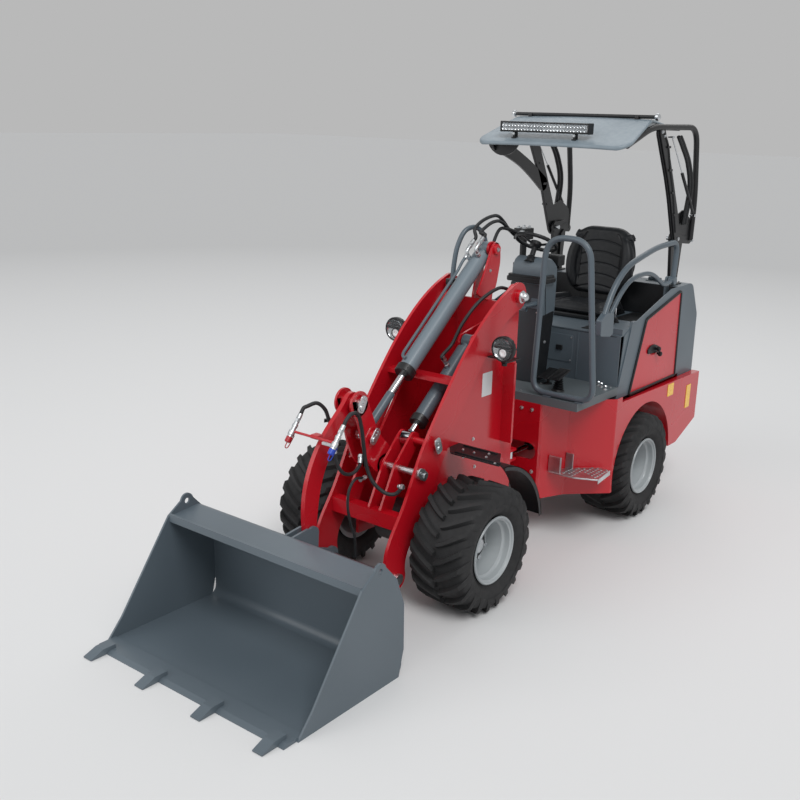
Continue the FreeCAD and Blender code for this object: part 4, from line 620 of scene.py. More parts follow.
# wrapped hydraulic hose: matt rubber with a faint weave of its cover
hose_rubber, tree, shader = new_material("wrapped_hose_rubber", Roughness=0.55)
feed(tree, shader, Base_Color=ramp(tree, noise(tree, 60, 3), (0.3, "17181a"), (0.7, "27292c")))
bump(tree, shader, noise(tree, 2.0, 1), 0.2, 0.4)
# sheet plates without print, in white gloss enamel
plate_white = enamel("white_plate_enamel", "d6d8d9", "e2e4e4", (0.3, 0.42), 0.1)
# anodised dust caps of the couplers
cap_red = enamel("anodised_red", "a3121f", "b81c2a", (0.3, 0.4), 0.2)
cap_blue = enamel("anodised_blue", "1b3fae", "2450c4", (0.3, 0.4), 0.2)


def tube(points, radius, reach, sides=18):
    """A round tube along straight runs with bent corners."""
    return swept(bent(points, reach), circle(radius, sides), LEFT)


def chain_hose(name, points, radius, cuts=(), count=96):
    """A hose as a row of tubes cut at shares of its length, each tube meeting the next one end to
    end; the tubes are given no body."""
    line = through(points, count)
    places = [0] + [int(share * (count - 1)) for share in cuts] + [count - 1]
    for n, (first, last) in enumerate(zip(places, places[1:])):
        run = line[first:last + 1]
        made = piece(f"{name}_{n}", None, hose_rubber,
                     [swept(run, circle(radius, 12), LEFT)])
        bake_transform(made)


def union(place, axis, radius=HOSE_R, length=0.034):
    """A hose end: a crimped sleeve, a hexagon nut and a short nipple, along an axis."""
    place, axis = np.asarray(place, float), unit(axis)
    sleeve = turned([(-length, 0), (-length, radius + 0.002), (-0.004, radius + 0.003), (0, radius),
                     (0, 0)], place, axis, 18)
    nut = turned([(0, 0), (0, radius + 0.005), (0.016, radius + 0.005), (0.018, radius + 0.002),
                  (0.018, 0)], place, axis, 6)
    return [sleeve, nut]


def side_axes(foot, eye):
    """Along a cylinder from foot to eye, seen from the side, and square to that, upwards."""
    way = unit(np.array([eye[0] - foot[0], 0, eye[2] - foot[2]]))
    return way, np.array([-way[2], 0, way[0]])


def keeper(name, body, centre, turn):
    """A pin's locking plate: a thick oblong turned by an angle, with the pin's end and two bolts on
    it."""
    way = np.array([math.cos(math.radians(turn)), 0, math.sin(math.radians(turn))])
    over = np.array([-way[2], 0, way[0]])
    rim = eased(oblong(-0.050, -0.029, 0.054, 0.029), 0.028, 8)
    outline = [tuple((centre + a * way + b * over)[[0, 2]]) for a, b in rim]
    plate = slab(outline, centre[1], centre[1] + 0.008, "y", 0.0015)
    end = turned([(0.006, 0), (0.006, 0.0185), (0.012, 0.0185), (0.0145, 0.016), (0.0145, 0)],
                 centre - 0.018 * way, LEFT, 28)
    bolts = bolt_set([centre + a * way + np.array([0, 0.008, 0]) for a in (0.014, 0.034)], LEFT,
                     0.012, 0.006)
    piece(name, body, zinc, [plate, end] + bolts)


def eye_of(rod):
    """Middle of the eye at the lower front end of a piston rod."""
    low, high = box(rod)
    return np.array([high[0] - 0.045, (low[1] + high[1]) / 2, low[2] + 0.045])


def pins():
    """Locking plates on the pins, and domed nuts on the boom's pivot."""
    plate_side = joint_at["crank_turn"] * (1, 0, 1)
    boom_side = box("boom")[1][1] - 0.0005
    lift_eye, tilt_eye = eye_of("lift_rod"), eye_of("tilt_rod")
    keeper("keeper_lift", "boom", np.array([lift_eye[0], boom_side, lift_eye[2]]), 70)
    keeper("keeper_crank", "crank_pin", np.array([plate_side[0], box("crank_pin")[1][1] - 0.002,
                                                  plate_side[2]]), 35)
    link = joint_at["link_turn"]
    keeper("keeper_link", "link_pin", np.array([link[0], box("link_pin")[1][1] - 0.002, link[2]]),
           115)
    keeper("keeper_tilt", "bellcrank", np.array([tilt_eye[0], box("bellcrank")[1][1] - 0.001,
                                                 tilt_eye[2]]), 130)
    pivot = joint_at["boom_lift"]
    dome = turned([(-0.006, 0), (-0.006, 0.040), (0.004, 0.040), (0.006, 0.033), (0.010, 0.030),
                   (0.024, 0.029), (0.036, 0.023), (0.044, 0.012), (0.046, 0.0)],
                  (pivot[0], box("boom")[1][1] + 0.002, pivot[2]), LEFT, 36)
    piece("pivot_nuts", "boom", zinc, [mirrored(dome)])


def cylinder_trim(name, foot, eye, bore, length):
    """A cylinder's black gland ring with its spanner flats, and the painted sleeve on its rod."""
    way = side_axes(foot, eye)[0]
    ring = turned(off((length, bore), [(-0.052, 0), (-0.048, 0.0055), (-0.004, 0.0055),
                                       (0.001, 0.001), (0.001, -0.014)]), foot, way, 48)
    slots = [turned(off((length, bore), [(-0.030, 0.001), (-0.030, 0.0068), (-0.018, 0.0068),
                                         (-0.018, 0.001)]), foot, way, 6)]
    piece(f"{name}_gland", f"{name}_barrel", black, [ring] + slots)
    reach = np.linalg.norm((eye - foot)[[0, 2]])
    sleeve_start = length + (0.150 if name == "tilt" else 0.060)
    sleeve = turned([(sleeve_start, 0.0), (sleeve_start, 0.0245), (sleeve_start + 0.003, 0.0265),
                     (reach - 0.030, 0.0265), (reach - 0.030, 0.0)], foot, way, 32)
    piece(f"{name}_rod_sleeve", f"{name}_rod", tube_grey, [sleeve])


def tilt_cylinder():
    """The steel pipe and elbows on the tilt cylinder; gives the places of its two hose ends."""
    eye = eye_of("tilt_rod")
    foot = joint_at["tilt_barrel_swing"] * (1, 0, 1) + (0, eye[1], 0)
    way, over = side_axes(foot, eye)
    side = np.array([0, 1, 0])
    cylinder_trim("tilt", foot, eye, TILT_BARREL_R, TILT_BARREL_LENGTH)

    def at(along, lift, across):
        return foot + along * way + lift * over + across * side

    pipe = hose([at(0.175, 0.086, -0.030), at(0.21, 0.086, -0.032), at(0.25, 0.076, -0.036),
                 at(0.30, 0.069, -0.037), at(0.50, 0.068, -0.037), at(0.74, 0.068, -0.037),
                 at(0.93, 0.068, -0.037), at(0.99, 0.068, -0.034), at(1.012, 0.066, -0.020),
                 at(1.015, 0.060, -0.004)], 0.0095, 90, sides=12)
    piece("tilt_pipe", "tilt_barrel", tube_grey, [pipe])
    fittings = []
    for across, along in ((-0.030, 0.150), (0.024, 0.118)):
        fittings.append(turned([(0.050, 0), (0.050, 0.017), (0.074, 0.017), (0.078, 0.013),
                                (0.098, 0.013), (0.100, 0.0)], at(along, 0, across), over, 6))
        fittings.append(hose([at(along, 0.090, across), at(along - 0.004, 0.104, across),
                              at(along - 0.022, 0.110, across), at(along - 0.055, 0.110, across)],
                             0.012, 24, sides=14))
        fittings += union(at(along - 0.070, 0.110, across), way)
    fittings += union(at(0.165, 0.086, -0.030), -way, 0.010, 0.020)
    piece("tilt_fittings", "tilt_barrel", zinc, fittings)
    return at(0.060, 0.110, -0.030), at(0.028, 0.110, 0.024), way


def valve_block():
    """The steering valve under its bracket beside the wheel, where the hoses from the front end."""
    head = box("console")[1][2]
    x, y, z = box("console")[0][0] - 0.060, -0.205, head + 0.125
    body = [block((x - 0.060, y - 0.050, z - 0.050), (x + 0.060, y + 0.045, z + 0.030), 0.008, "y",
                  0.003), block((x - 0.030, y - 0.010, z - 0.235),
                                (x + 0.030, y + 0.010, z - 0.045), 0.004),
            block((x - 0.030, y - 0.010, z - 0.235), (x + 0.110, -0.110, z - 0.205), 0.004)]
    piece("valve_block", "rear_frame", black, body)
    nuts = bolt_set([(x + a, y + b, z + 0.030) for a in (-0.035, 0.035) for b in (-0.025, 0.020)],
                    UP, 0.024, 0.016)
    ends = [np.array([x + 0.078, y + b, z - 0.006 + c]) for b, c in ((-0.032, 0.010), (0.0, -0.008),
            (0.030, 0.012))]
    for end in ends:
        nuts += union(end, (-1, 0, 0))
    piece("valve_nuts", "rear_frame", zinc, nuts)
    return ends


def tower_hoses():
    """Hoses over the tower's head to the valve, and the lift cylinder's feed hose."""
    far, near, way = tilt_cylinder()
    ends = valve_block()
    low, high = box("tower")
    back, top = low[0], high[2]
    route = [far, far - 0.045 * way, (back + 0.220, -0.112, top + 0.075),
             (back + 0.120, -0.130, top + 0.115), (back - 0.020, -0.155, top + 0.135),
             (back - 0.160, -0.185, top + 0.130), (back - 0.290, -0.215, top + 0.080),
             ends[0] + (0.060, 0, 0.012), ends[0]]
    chain_hose("hose_far", route, HOSE_R, (0.30,))
    route = [near, near - 0.045 * way, (back + 0.215, -0.070, top + 0.056),
             (back + 0.110, -0.095, top + 0.086), (back - 0.030, -0.135, top + 0.102),
             (back - 0.160, -0.165, top + 0.096), (back - 0.290, -0.190, top + 0.050),
             ends[1] + (0.060, 0, 0.008), ends[1]]
    chain_hose("hose_near", route, HOSE_R, (0.30,))
    loop = hose(off((back, 0, top), [(0.330, -0.195, -0.260), (0.315, -0.198, -0.150),
                                     (0.290, -0.194, -0.040), (0.235, -0.180, 0.055),
                                     (0.160, -0.155, 0.080), (0.100, -0.130, 0.040),
                                     (0.080, -0.112, -0.040), (0.080, -0.105, -0.110)]), 0.0160, 70)
    piece("feed_loop", "front_frame", tube_grey, [loop])
    route = [(back + 0.030, -0.120, top - 0.190), (back - 0.020, -0.135, top - 0.120),
             (back - 0.100, -0.165, top - 0.030), (back - 0.200, -0.185, top + 0.040),
             (back - 0.310, -0.182, top + 0.030), ends[2] + (0.060, 0, 0.004), ends[2]]
    chain_hose("hose_low", route, HOSE_R)
    piece("tower_clamp", "front_frame", black,
          [block((back + 0.300, -0.228, top - 0.285), (back + 0.360, -0.170, top - 0.245), 0.006)])
    eye = eye_of("lift_rod")
    foot = joint_at["lift_barrel_swing"] * (1, 0, 1) + (0, eye[1], 0)
    way, over = side_axes(foot, eye)
    cylinder_trim("lift", foot, eye, LIFT_BARREL_R, LIFT_BARREL_LENGTH)
    boss = foot + 0.250 * way + 0.046 * over
    parts = [turned([(-0.006, 0), (-0.006, 0.017), (0.022, 0.017), (0.026, 0.013), (0.034, 0.013),
                     (0.034, 0)], boss, over, 6)]
    parts += union(boss + 0.066 * over, -over)
    piece("lift_port", "lift_barrel", zinc, parts)
    start = np.array([back + 0.265, 0.205, top - 0.275])
    route = [start, start + (0.120, -0.012, 0.020), start + (0.270, -0.050, -0.050),
             start + (0.380, -0.090, -0.175), start + (0.445, -0.118, -0.300), boss + 0.100 * over,
             boss + 0.060 * over]
    chain_hose("hose_lift", route, 0.0110)
    piece("lift_hose_end", "front_frame", zinc, union(start, (1, 0, 0.3)))


def couplers():
    """The red carrier bar on the link with two quick couplers, and their hoses down to the boom."""
    bar_z, bar_x = 1.098, 1.296
    bar = plain_rod(-0.225, 0.115, 0.0075, (bar_x, -0.005, bar_z), LEFT, 16)
    seat = block((bar_x - 0.050, -0.085, bar_z - 0.011), (bar_x + 0.002, -0.035, bar_z + 0.011),
                 0.004)
    piece("coupler_bar", "link", red, [bar, seat])
    drop = unit(np.array([0.62, 0, -0.78]))
    silver_parts = []
    for name, y, cap in (("near", 0.100, cap_blue), ("far", -0.222, cap_red)):
        top = np.array([bar_x - 0.045, y, bar_z + 0.060])
        profile = [(0, 0), (0, 0.013), (0.030, 0.013), (0.032, 0.0165), (0.050, 0.0165),
                   (0.052, 0.014), (0.070, 0.014), (0.072, 0.019), (0.086, 0.0195), (0.100, 0.019),
                   (0.102, 0.0155), (0.116, 0.0155), (0.118, 0)]
        silver_parts.append(turned(profile, top, drop, 28))
        silver_parts += union(top, drop)
        cover = turned([(0.112, 0), (0.112, 0.0175), (0.140, 0.0175), (0.145, 0.014), (0.146, 0)],
                       top, drop, 24)
        lanyard = hose([top + 0.14 * drop, top + 0.150 * drop + (0.012, 0, -0.02),
                        top + 0.12 * drop + (0.008, 0, -0.05),
                        top + 0.07 * drop + (-0.012, 0, -0.035)], 0.0028, 30, sides=8)
        piece(f"coupler_cap_{name}", "link", cap,
              [cover, lanyard])
    piece("couplers", "link", zinc, silver_parts)
    near_top = np.array([bar_x - 0.045, 0.100, bar_z + 0.060]) - 0.036 * drop
    far_top = np.array([bar_x - 0.045, -0.222, bar_z + 0.060]) - 0.036 * drop
    chain_hose("hose_coupler", [near_top, near_top - 0.035 * drop, (1.165, 0.098, 1.235),
                                (1.095, 0.085, 1.215), (1.040, 0.068, 1.120), (1.008, 0.060, 1.000),
                                (0.990, 0.068, 0.880), (0.980, 0.110, 0.790), (0.945, 0.170, 0.730),
                                (0.905, 0.215, 0.722), (0.882, 0.246, 0.762)], HOSE_R,
               (0.26, 0.42, 0.66))
    chain_hose("hose_coupler_far", [far_top, far_top - 0.035 * drop, (1.185, -0.214, 1.222),
                                    (1.125, -0.195, 1.232), (1.082, -0.172, 1.190),
                                    (1.060, -0.158, 1.120), (1.030, -0.150, 1.060)], HOSE_R,
               (0.45,))
    chain_hose("hose_loop", [(1.262, 0.062, 1.058), (1.240, 0.060, 0.960), (1.180, 0.060, 0.885),
                             (1.100, 0.058, 0.862), (1.030, 0.050, 0.890), (1.010, 0.040, 0.930)],
               LOOP_HOSE_R, (0.45,))
    chain_hose("hose_hitch", [(0.985, 0.045, 0.800), (1.070, 0.050, 0.815), (1.122, 0.050, 0.755),
                              (1.128, 0.050, 0.655), (1.100, 0.050, 0.555), (1.062, 0.050, 0.450),
                              (1.055, 0.050, 0.330)], BUCKET_HOSE_R,
               (0.5,))
    piece("boom_hose_end", "boom", zinc, union((0.882, 0.240, 0.765), (0, 1, 0.1), 0.012,
                                                       0.020) + union((0.985, 0.045, 0.800),
            (-1, 0, 0.2), 0.009))
    piece("crank_hose_ends", "bellcrank", zinc, union((1.010, 0.040, 0.930),
                                                              (-0.5, -0.3, 0.8), 0.011)
          + union((1.030, -0.150, 1.060), (-0.4, 0.6, -0.7), 0.012))
    piece("link_hose_end", "link", zinc, union((1.262, 0.062, 1.058), (0.1, 0, 1), 0.011)
          + [block((1.245, -0.012, 1.062), (1.285, 0.074, 1.080), 0.004)])


def front_plates():
    """The bare white plate on the tower, its bolts, and the bolts of the rear frame's nose."""
    lamp_low = box("headlamps")[0]
    y = 0.2451
    x, z = lamp_low[0] + 0.083, lamp_low[2] - 0.172
    piece("bare_plate", "front_frame", plate_white,
          [rounded(oblong(x - 0.055, z - 0.076, x + 0.055, z + 0.076), 0.006, y, y + 0.0015, "y",
                   0.0004)])
    bolts = bolt_set([(x + dx, y, z + dz) for dx, dz in ((-0.150, 0.420), (0.130, -0.330),
                                                         (0.230, -0.420), (-0.02, -0.47),
                                                         (0.10, -0.52))], LEFT, 0.018, 0.009)
    piece("tower_bolts", "front_frame", zinc, both(bolts))
    nose = box("platform")[1][0] + 0.0002
    bolts = bolt_set([(nose, side * y, z) for y, z in ((0.105, 0.935), (0.185, 0.935),
                                                       (0.265, 0.935), (0.290, 0.50),
                                                       (0.290, 0.42)) for side in (1, -1)], AHEAD,
                     0.022, 0.011)
    piece("nose_bolts", "rear_frame", zinc, bolts)


pins()
tower_hoses()
couplers()
front_plates()


# ---------------------------------------------------------------- seat
SEAT_HALF, WELL = 0.282, 0.170
# the pads' voxels, and the frames and air pressure of the cloth that swells them
VOXEL, CLOTH_FRAMES, CLOTH_PRESSURE = 0.006, 20, 4.0
# the backrest leans back by this run over this rise
LEAN_RUN, LEAN_RISE = -64.0, 618.0


def stuffed(name, parts, cap, grooves):
    """A sewn pad: its parts joined into one skin, swollen by air pressure as cloth, each point held
    within cap of where it began, divided once and pressed in along its seams by grooves(points)."""
    pad = put(name, joined(name, parts, merge=False))

    def settled():
        """The pad's mesh as its modifiers leave it, which are then taken off."""
        graph = bpy.context.evaluated_depsgraph_get()
        made = bpy.data.meshes.new_from_object(pad.evaluated_get(graph))
        pad.modifiers.clear()
        pad.data = made
        return made

    def places(of):
        """Vertex positions as an array."""
        held = np.zeros(len(of.vertices) * 3)
        of.vertices.foreach_get("co", held)
        return held.reshape(-1, 3)

    skin_over = pad.modifiers.new("skin", "REMESH")
    skin_over.mode, skin_over.voxel_size = "VOXEL", VOXEL
    ease = pad.modifiers.new("ease", "SMOOTH")
    ease.factor, ease.iterations = 0.5, 10
    rest = places(settled())
    cloth = pad.modifiers.new("air", "CLOTH")
    cloth.settings.use_pressure, cloth.settings.uniform_pressure_force = True, CLOTH_PRESSURE
    cloth.settings.effector_weights.gravity = 0
    cloth.settings.quality = 5
    for number in range(1, CLOTH_FRAMES + 1):
        bpy.context.scene.frame_set(number)
    moved = places(settled())
    shift = moved - rest
    length = np.linalg.norm(shift, axis=1, keepdims=True)
    rest = rest + shift * np.minimum(1, cap / np.maximum(length, 1e-9))
    pad.data.vertices.foreach_set("co", rest.ravel())
    bpy.context.scene.frame_set(1)
    finer = pad.modifiers.new("finer", "SUBSURF")
    finer.levels = finer.render_levels = 1
    mesh = settled()
    points = places(mesh)
    normals = np.zeros(len(points) * 3)
    mesh.vertex_normals.foreach_get("vector", normals)
    normals = normals.reshape(-1, 3)
    mesh.vertices.foreach_set("co", (points + normals * grooves(points, normals)[:, None]).ravel())
    mesh.update()
    mesh.polygons.foreach_set("use_smooth", np.ones(len(mesh.polygons), bool))
    mesh.materials.clear()
    mesh.materials.append(vinyl)
    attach(pad, "rear_frame")
    return pad


def channel(distance, depth, width):
    """A sewn seam: depth times a bell curve of the distance from its line."""
    return -depth * np.exp(-(distance / width) ** 2)


def piping(distance, facing):
    """A corded edge: raised near its line, on faces that aren't turned to the pad's front."""
    return 0.0030 * np.exp(-(distance / 0.0035) ** 2) * (np.abs(facing) < 0.6)


def seat_cushion():
    """The seat's cushion: a base with a rolled front and two side bolsters, seams between them."""
    low, high = box("seat_cushion")
    x0, x1, z0, z1 = low[0] + 0.004, high[0] - 0.004, low[2] + 0.003, high[2] - 0.012
    base = rounded([(x0, -SEAT_HALF + 0.012), (x1, -SEAT_HALF), (x1, SEAT_HALF),
                    (x0, SEAT_HALF - 0.012)], 0.06, z0, z1, "z", 0.012)
    roll = hose([(x1 - 0.036, -SEAT_HALF + 0.05, z1 - 0.018), (x1 - 0.030, -0.10, z1 - 0.012),
                 (x1 - 0.028, 0, z1 - 0.010), (x1 - 0.030, 0.10, z1 - 0.012),
                 (x1 - 0.036, SEAT_HALF - 0.05, z1 - 0.018)], 0.026, 20, UP)
    sides = [hose([(x0 + 0.030, s * 0.208, z1 - 0.004), (x0 + 0.16, s * 0.232, z1 + 0.004),
                   (x1 - 0.14, s * 0.232, z1 + 0.004), (x1 - 0.045, s * 0.206, z1 - 0.010)], 0.034,
                  24, UP) for s in (1, -1)]

    def seams(points, normals):
        upper = np.clip(normals[:, 2] * 2, 0, 1)
        x, y = points[:, 0], points[:, 1]
        pressed = channel(np.abs(y) - WELL, 0.007, 0.006) * upper
        between = (np.abs(y) < WELL) * upper
        for place in (0.085, 0.165, 0.245, 0.320):
            curve = x0 + place + 0.030 * (y / WELL) ** 2
            pressed += channel(x - curve, 0.0055, 0.006) * between
        return pressed + piping(points[:, 2] - (z0 + 0.020), normals[:, 2])

    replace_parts(stuffed("seat_pad", [base, roll] + sides, 0.010, seams), "seat_cushion")


def seat_backrest():
    """The backrest: a leaning pad, rounded above, with side bolsters and curved cross seams."""
    low, high = box("seat_backrest")
    lean = unit(np.array([LEAN_RUN, 0, LEAN_RISE]))
    ahead = np.array([lean[2], 0, -lean[0]])
    foot = np.array([high[0] - 0.072, 0, low[2] + 0.012])
    matrix = np.eye(4)
    matrix[:3, 0], matrix[:3, 1], matrix[:3, 2], matrix[:3, 3] = LEFT, lean, ahead, foot
    tall = 0.528
    outline = eased([(-0.215, 0.0), (0.215, 0.0), (SEAT_HALF - 0.002, 0.20),
                     (SEAT_HALF - 0.010, 0.40), (0.195, tall), (-0.195, tall),
                     (-SEAT_HALF + 0.016, 0.40), (-SEAT_HALF + 0.002, 0.20)],
                    [0.05, 0.05, 0.08, 0.11, 0.11, 0.11, 0.11, 0.08], 8)
    flat = slab(outline, -0.012, 0.052, "z", 0.014)
    sides = [hose([(s * 0.196, 0.045, 0.034), (s * 0.226, 0.15, 0.066), (s * 0.230, 0.27, 0.070),
                   (s * 0.212, 0.38, 0.048), (s * 0.172, 0.450, 0.012)], 0.041, 30, UP)
             for s in (1, -1)]

    def seams(points, normals):
        local = (points - foot) @ np.stack([LEFT, lean, ahead], 1)
        front = np.clip((normals @ ahead) * 2, 0, 1)
        y, up = local[:, 0], local[:, 1]
        well = WELL - 0.05 * np.clip((up - 0.36) / 0.12, 0, 1) ** 2
        pressed = channel(np.abs(y) - well, 0.007, 0.006) * front * (up < 0.47)
        between = (np.abs(y) < well) * front
        for place in (0.075, 0.160, 0.245, 0.330, 0.415):
            pressed += channel(up - place + 0.035 * (y / WELL) ** 2, 0.0055, 0.006) * between
        return pressed + piping(local[:, 2] - 0.016, normals @ ahead)

    parts = [placed(part, matrix) for part in [flat] + sides]
    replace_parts(stuffed("seat_back_pad", parts, 0.010, seams), "seat_backrest")


def seat_frame():
    """The moulded shell behind the pads and its slide rails."""
    low, high = box("seat_shell")
    x1 = high[0]
    base = rounded(off((x1, low[2]), [(-0.480, 0.002), (-0.004, 0.002), (0.000, 0.036),
                                      (-0.450, 0.038)]), 0.01, -0.225, 0.225, "y", 0.006)
    rails = [block((x1 - 0.40, s * 0.17 - 0.02, low[2]), (x1 - 0.03, s * 0.17 + 0.02,
                                                          low[2] + 0.010), 0.003) for s in (1, -1)]
    lean = unit(np.array([LEAN_RUN, LEAN_RISE]))
    foot = np.array([x1 - 0.470, low[2] + 0.010])
    top = foot + lean * 0.560
    back = rounded([tuple(foot), tuple(foot + (0.016, 0.0)), tuple(top + (0.014, 0.0)), tuple(top)],
                   0.006, -0.165, 0.165, "y", 0.005)
    piece("seat_moulding", "rear_frame", abs_black, [base, back] + rails,
          ("seat_shell",))


seat_cushion()
seat_backrest()
seat_frame()


# ---------------------------------------------------------------- driver's place
rear_x = joint_at["rear_left_wheel"][0]
floor_high = box("platform")[1]
FLOOR, NOSE, HALF = floor_high[2], floor_high[0], floor_high[1]
FACE = box("console")[1][0]


def console():
    """The steering console: a folded cover with a lower panel, a shelf and a switch box."""
    z = FLOOR
    cover = rounded(off((FACE, z), [(0, 0), (0, 0.815), (-0.055, 0.872), (-0.130, 0.860),
                                    (-0.215, 0.800), (-0.215, 0.520), (-0.145, 0)]),
                    [0.006, 0.05, 0.04, 0.04, 0.03, 0.03, 0.006], -0.120, 0.120, "y", 0.008)
    piece("console_cover", "rear_frame", grey, [cover], ("console",))
    shelf = rounded(oblong(FACE - 0.160, -0.150, FACE + 0.030, 0.150), 0.03, z + 0.700, z + 0.732,
                    "z", 0.004)
    lip = rounded(oblong(FACE - 0.150, -0.143, FACE + 0.024, 0.143), 0.03, z + 0.730, z + 0.748,
                  "z", 0.003)
    lower = rounded(oblong(FACE - 0.010, z + 0.004, FACE + 0.003, z + 0.690), 0.002, -0.121, 0.121,
                    "y", 0.002)
    side = rounded(off((FACE, z), [(-0.012, 0.015), (-0.012, 0.470), (-0.195, 0.490),
                                   (-0.135, 0.015)]), 0.012, 0.1195, 0.1225, "y", 0.001)
    switches = block((FACE - 0.300, 0.010, z + 0.800), (FACE - 0.205, 0.125, z + 0.872), 0.010, "y",
                     0.004)
    ledge = block((FACE - 0.220, 0.020, z + 0.790), (FACE - 0.190, 0.110, z + 0.815), 0.004)
    keys = [block((FACE - 0.3035, y - 0.009, z + 0.820), (FACE - 0.299, y + 0.009, z + 0.850),
                  0.003, "x", 0.001) for y in (0.035, 0.065, 0.095)]
    boot = turned([(-0.012, 0), (-0.012, 0.040), (0.000, 0.036), (0.010, 0.030), (0.016, 0.0325),
                   (0.022, 0.027), (0.028, 0.0295), (0.036, 0.023), (0.036, 0)], wheel_at(-0.150),
                  wheel_axis, 28)
    piece("console_mouldings", "rear_frame", abs_black,
          [shelf, lip, side, switches, ledge, boot] + keys)
    # the lower panel takes the darker grey of painted shade
    piece("console_panel", "rear_frame", shaded_panel_grey, [lower])
    screws = bolt_set([(FACE + 0.002, y, zz) for y in (-0.100, 0.100)
                       for zz in (z + 0.030, z + 0.500)], AHEAD, 0.012, 0.005)
    screws += hexagon((FACE - 0.090, 0.1225, z + 0.282), LEFT, 0.018, 0.009)
    piece("console_screws", "rear_frame", zinc, screws)


WHEEL_RING, WHEEL_DROP = 0.142, 0.012
wheel_joint = [j for j in frame["joints"] if j["name"] == "steering_wheel_turn"][0]
wheel_axis = unit(np.array(wheel_joint["axis"]))


def wheel_at(along):
    """A point on the steering wheel's axis."""
    return np.array(wheel_joint["pos_m"]) + along * wheel_axis


def steering_wheel():
    """The wheel: a ring with finger waves inside, three dished spokes, a hub cap and the column."""
    side = unit(np.cross(wheel_axis, LEFT))
    over = np.cross(wheel_axis, side)
    turn = turns(120)
    spoke_way = np.cos(turn)[:, None] * side + np.sin(turn)[:, None] * over
    ring_path = wheel_at(-WHEEL_DROP) + WHEEL_RING * spoke_way
    wave = 0.0132 + 0.0006 * np.cos(30 * turn)
    ring = swept(ring_path, circle(1.0, 16)[None] * wave[:, None, None], wheel_axis, True)
    spokes = []
    for angle in (0.5, 0.5 + 2 * math.pi / 3, 0.5 + 4 * math.pi / 3):
        way = math.cos(angle) * side + math.sin(angle) * over
        line = through([wheel_at(-0.030) + 0.020 * way, wheel_at(-0.026) + 0.060 * way,
                        wheel_at(-0.016) + 0.105 * way, wheel_at(-WHEEL_DROP)
                        + (WHEEL_RING - 0.004) * way], 14)
        width = np.linspace(0.019, 0.012, 14)[:, None, None] * circle(np.array([1.0, 0.28]),
                14)[None]
        spokes.append(swept(line, width, wheel_axis))
    hub = turned([(-0.050, 0), (-0.050, 0.024), (-0.036, 0.040), (-0.016, 0.041), (-0.010, 0.036),
                  (-0.008, 0.0)], wheel_at(0), wheel_axis, 36)
    column = plain_rod(-0.150, -0.048, 0.0185, wheel_at(0), wheel_axis, 28)
    piece("wheel_ring", "steering_wheel", abs_black, [ring, hub, column] + spokes,
          ("steering_wheel",))


def hand_rails():
    """The entry loop with its cross bar, and the side guard with its end block."""
    x, foot, head = NOSE - 0.035, FLOOR + 0.0205, FLOOR + 1.055
    loop = bent([(x, 0.440, foot), (x, 0.238, foot), (x, 0.276, head), (x, 0.590, head),
                 (x, 0.692, foot), (x, 0.440, foot)], [0.098, 0.145, 0.136, 0.105], 12)
    bar = tube([(FACE - 0.004, 0.085, FLOOR + 0.560), (x, 0.085, FLOOR + 0.560),
                (x, 0.640, FLOOR + 0.560)], 0.0165, 0.070)
    shoes = [block((x - 0.028, y - 0.030, FLOOR), (x + 0.028, y + 0.030, FLOOR + 0.008), 0.006, "z",
                   0.002) for y in (0.36, 0.60)]
    plate = block((FACE - 0.001, 0.050, FLOOR + 0.525), (FACE + 0.007, 0.120, FLOOR + 0.595), 0.008,
                  "x", 0.001)
    piece("entry_rail", "rear_frame", tube_grey,
          [swept(loop[:-1], circle(0.020, 20), AHEAD, True), bar, plate] + shoes, ("entry_loop",))
    y = HALF - 0.012
    hinge_x, hinge_z = joint_at["side_guard_lift"][0], joint_at["side_guard_lift"][2]
    upper = tube([(rear_x + 0.670, y, 1.520), (rear_x + 0.470, y, 1.860),
                  (rear_x - 0.100, y, 1.970), (hinge_x - 0.030, y, hinge_z + 0.285),
                  (hinge_x - 0.005, y, hinge_z)], 0.020, [0.25, 0.12, 0.095], 20)
    lower = tube([(rear_x + 0.620, y, 1.500), (rear_x + 0.320, y, 1.800),
                  (rear_x - 0.050, y, 1.800), (hinge_x + 0.150, y, hinge_z - 0.020),
                  (hinge_x, y, hinge_z)], 0.016, [0.20, 0.12, 0.06], 18)
    end = rounded(off((rear_x, 0), [(0.520, 1.445), (0.560, 1.430), (0.700, 1.452), (0.706, 1.560),
                                    (0.640, 1.600), (0.524, 1.590)]), 0.014, y - 0.020, y + 0.020,
                  "y", 0.003)
    eye = turned([(-0.023, 0.0122), (-0.023, 0.030), (0.023, 0.030), (0.023, 0.0122)],
                 (hinge_x, y, hinge_z), LEFT, 32)
    piece("guard_rails", "side_guard", tube_grey, [upper, lower, end, eye],
          ("arm_rail",))


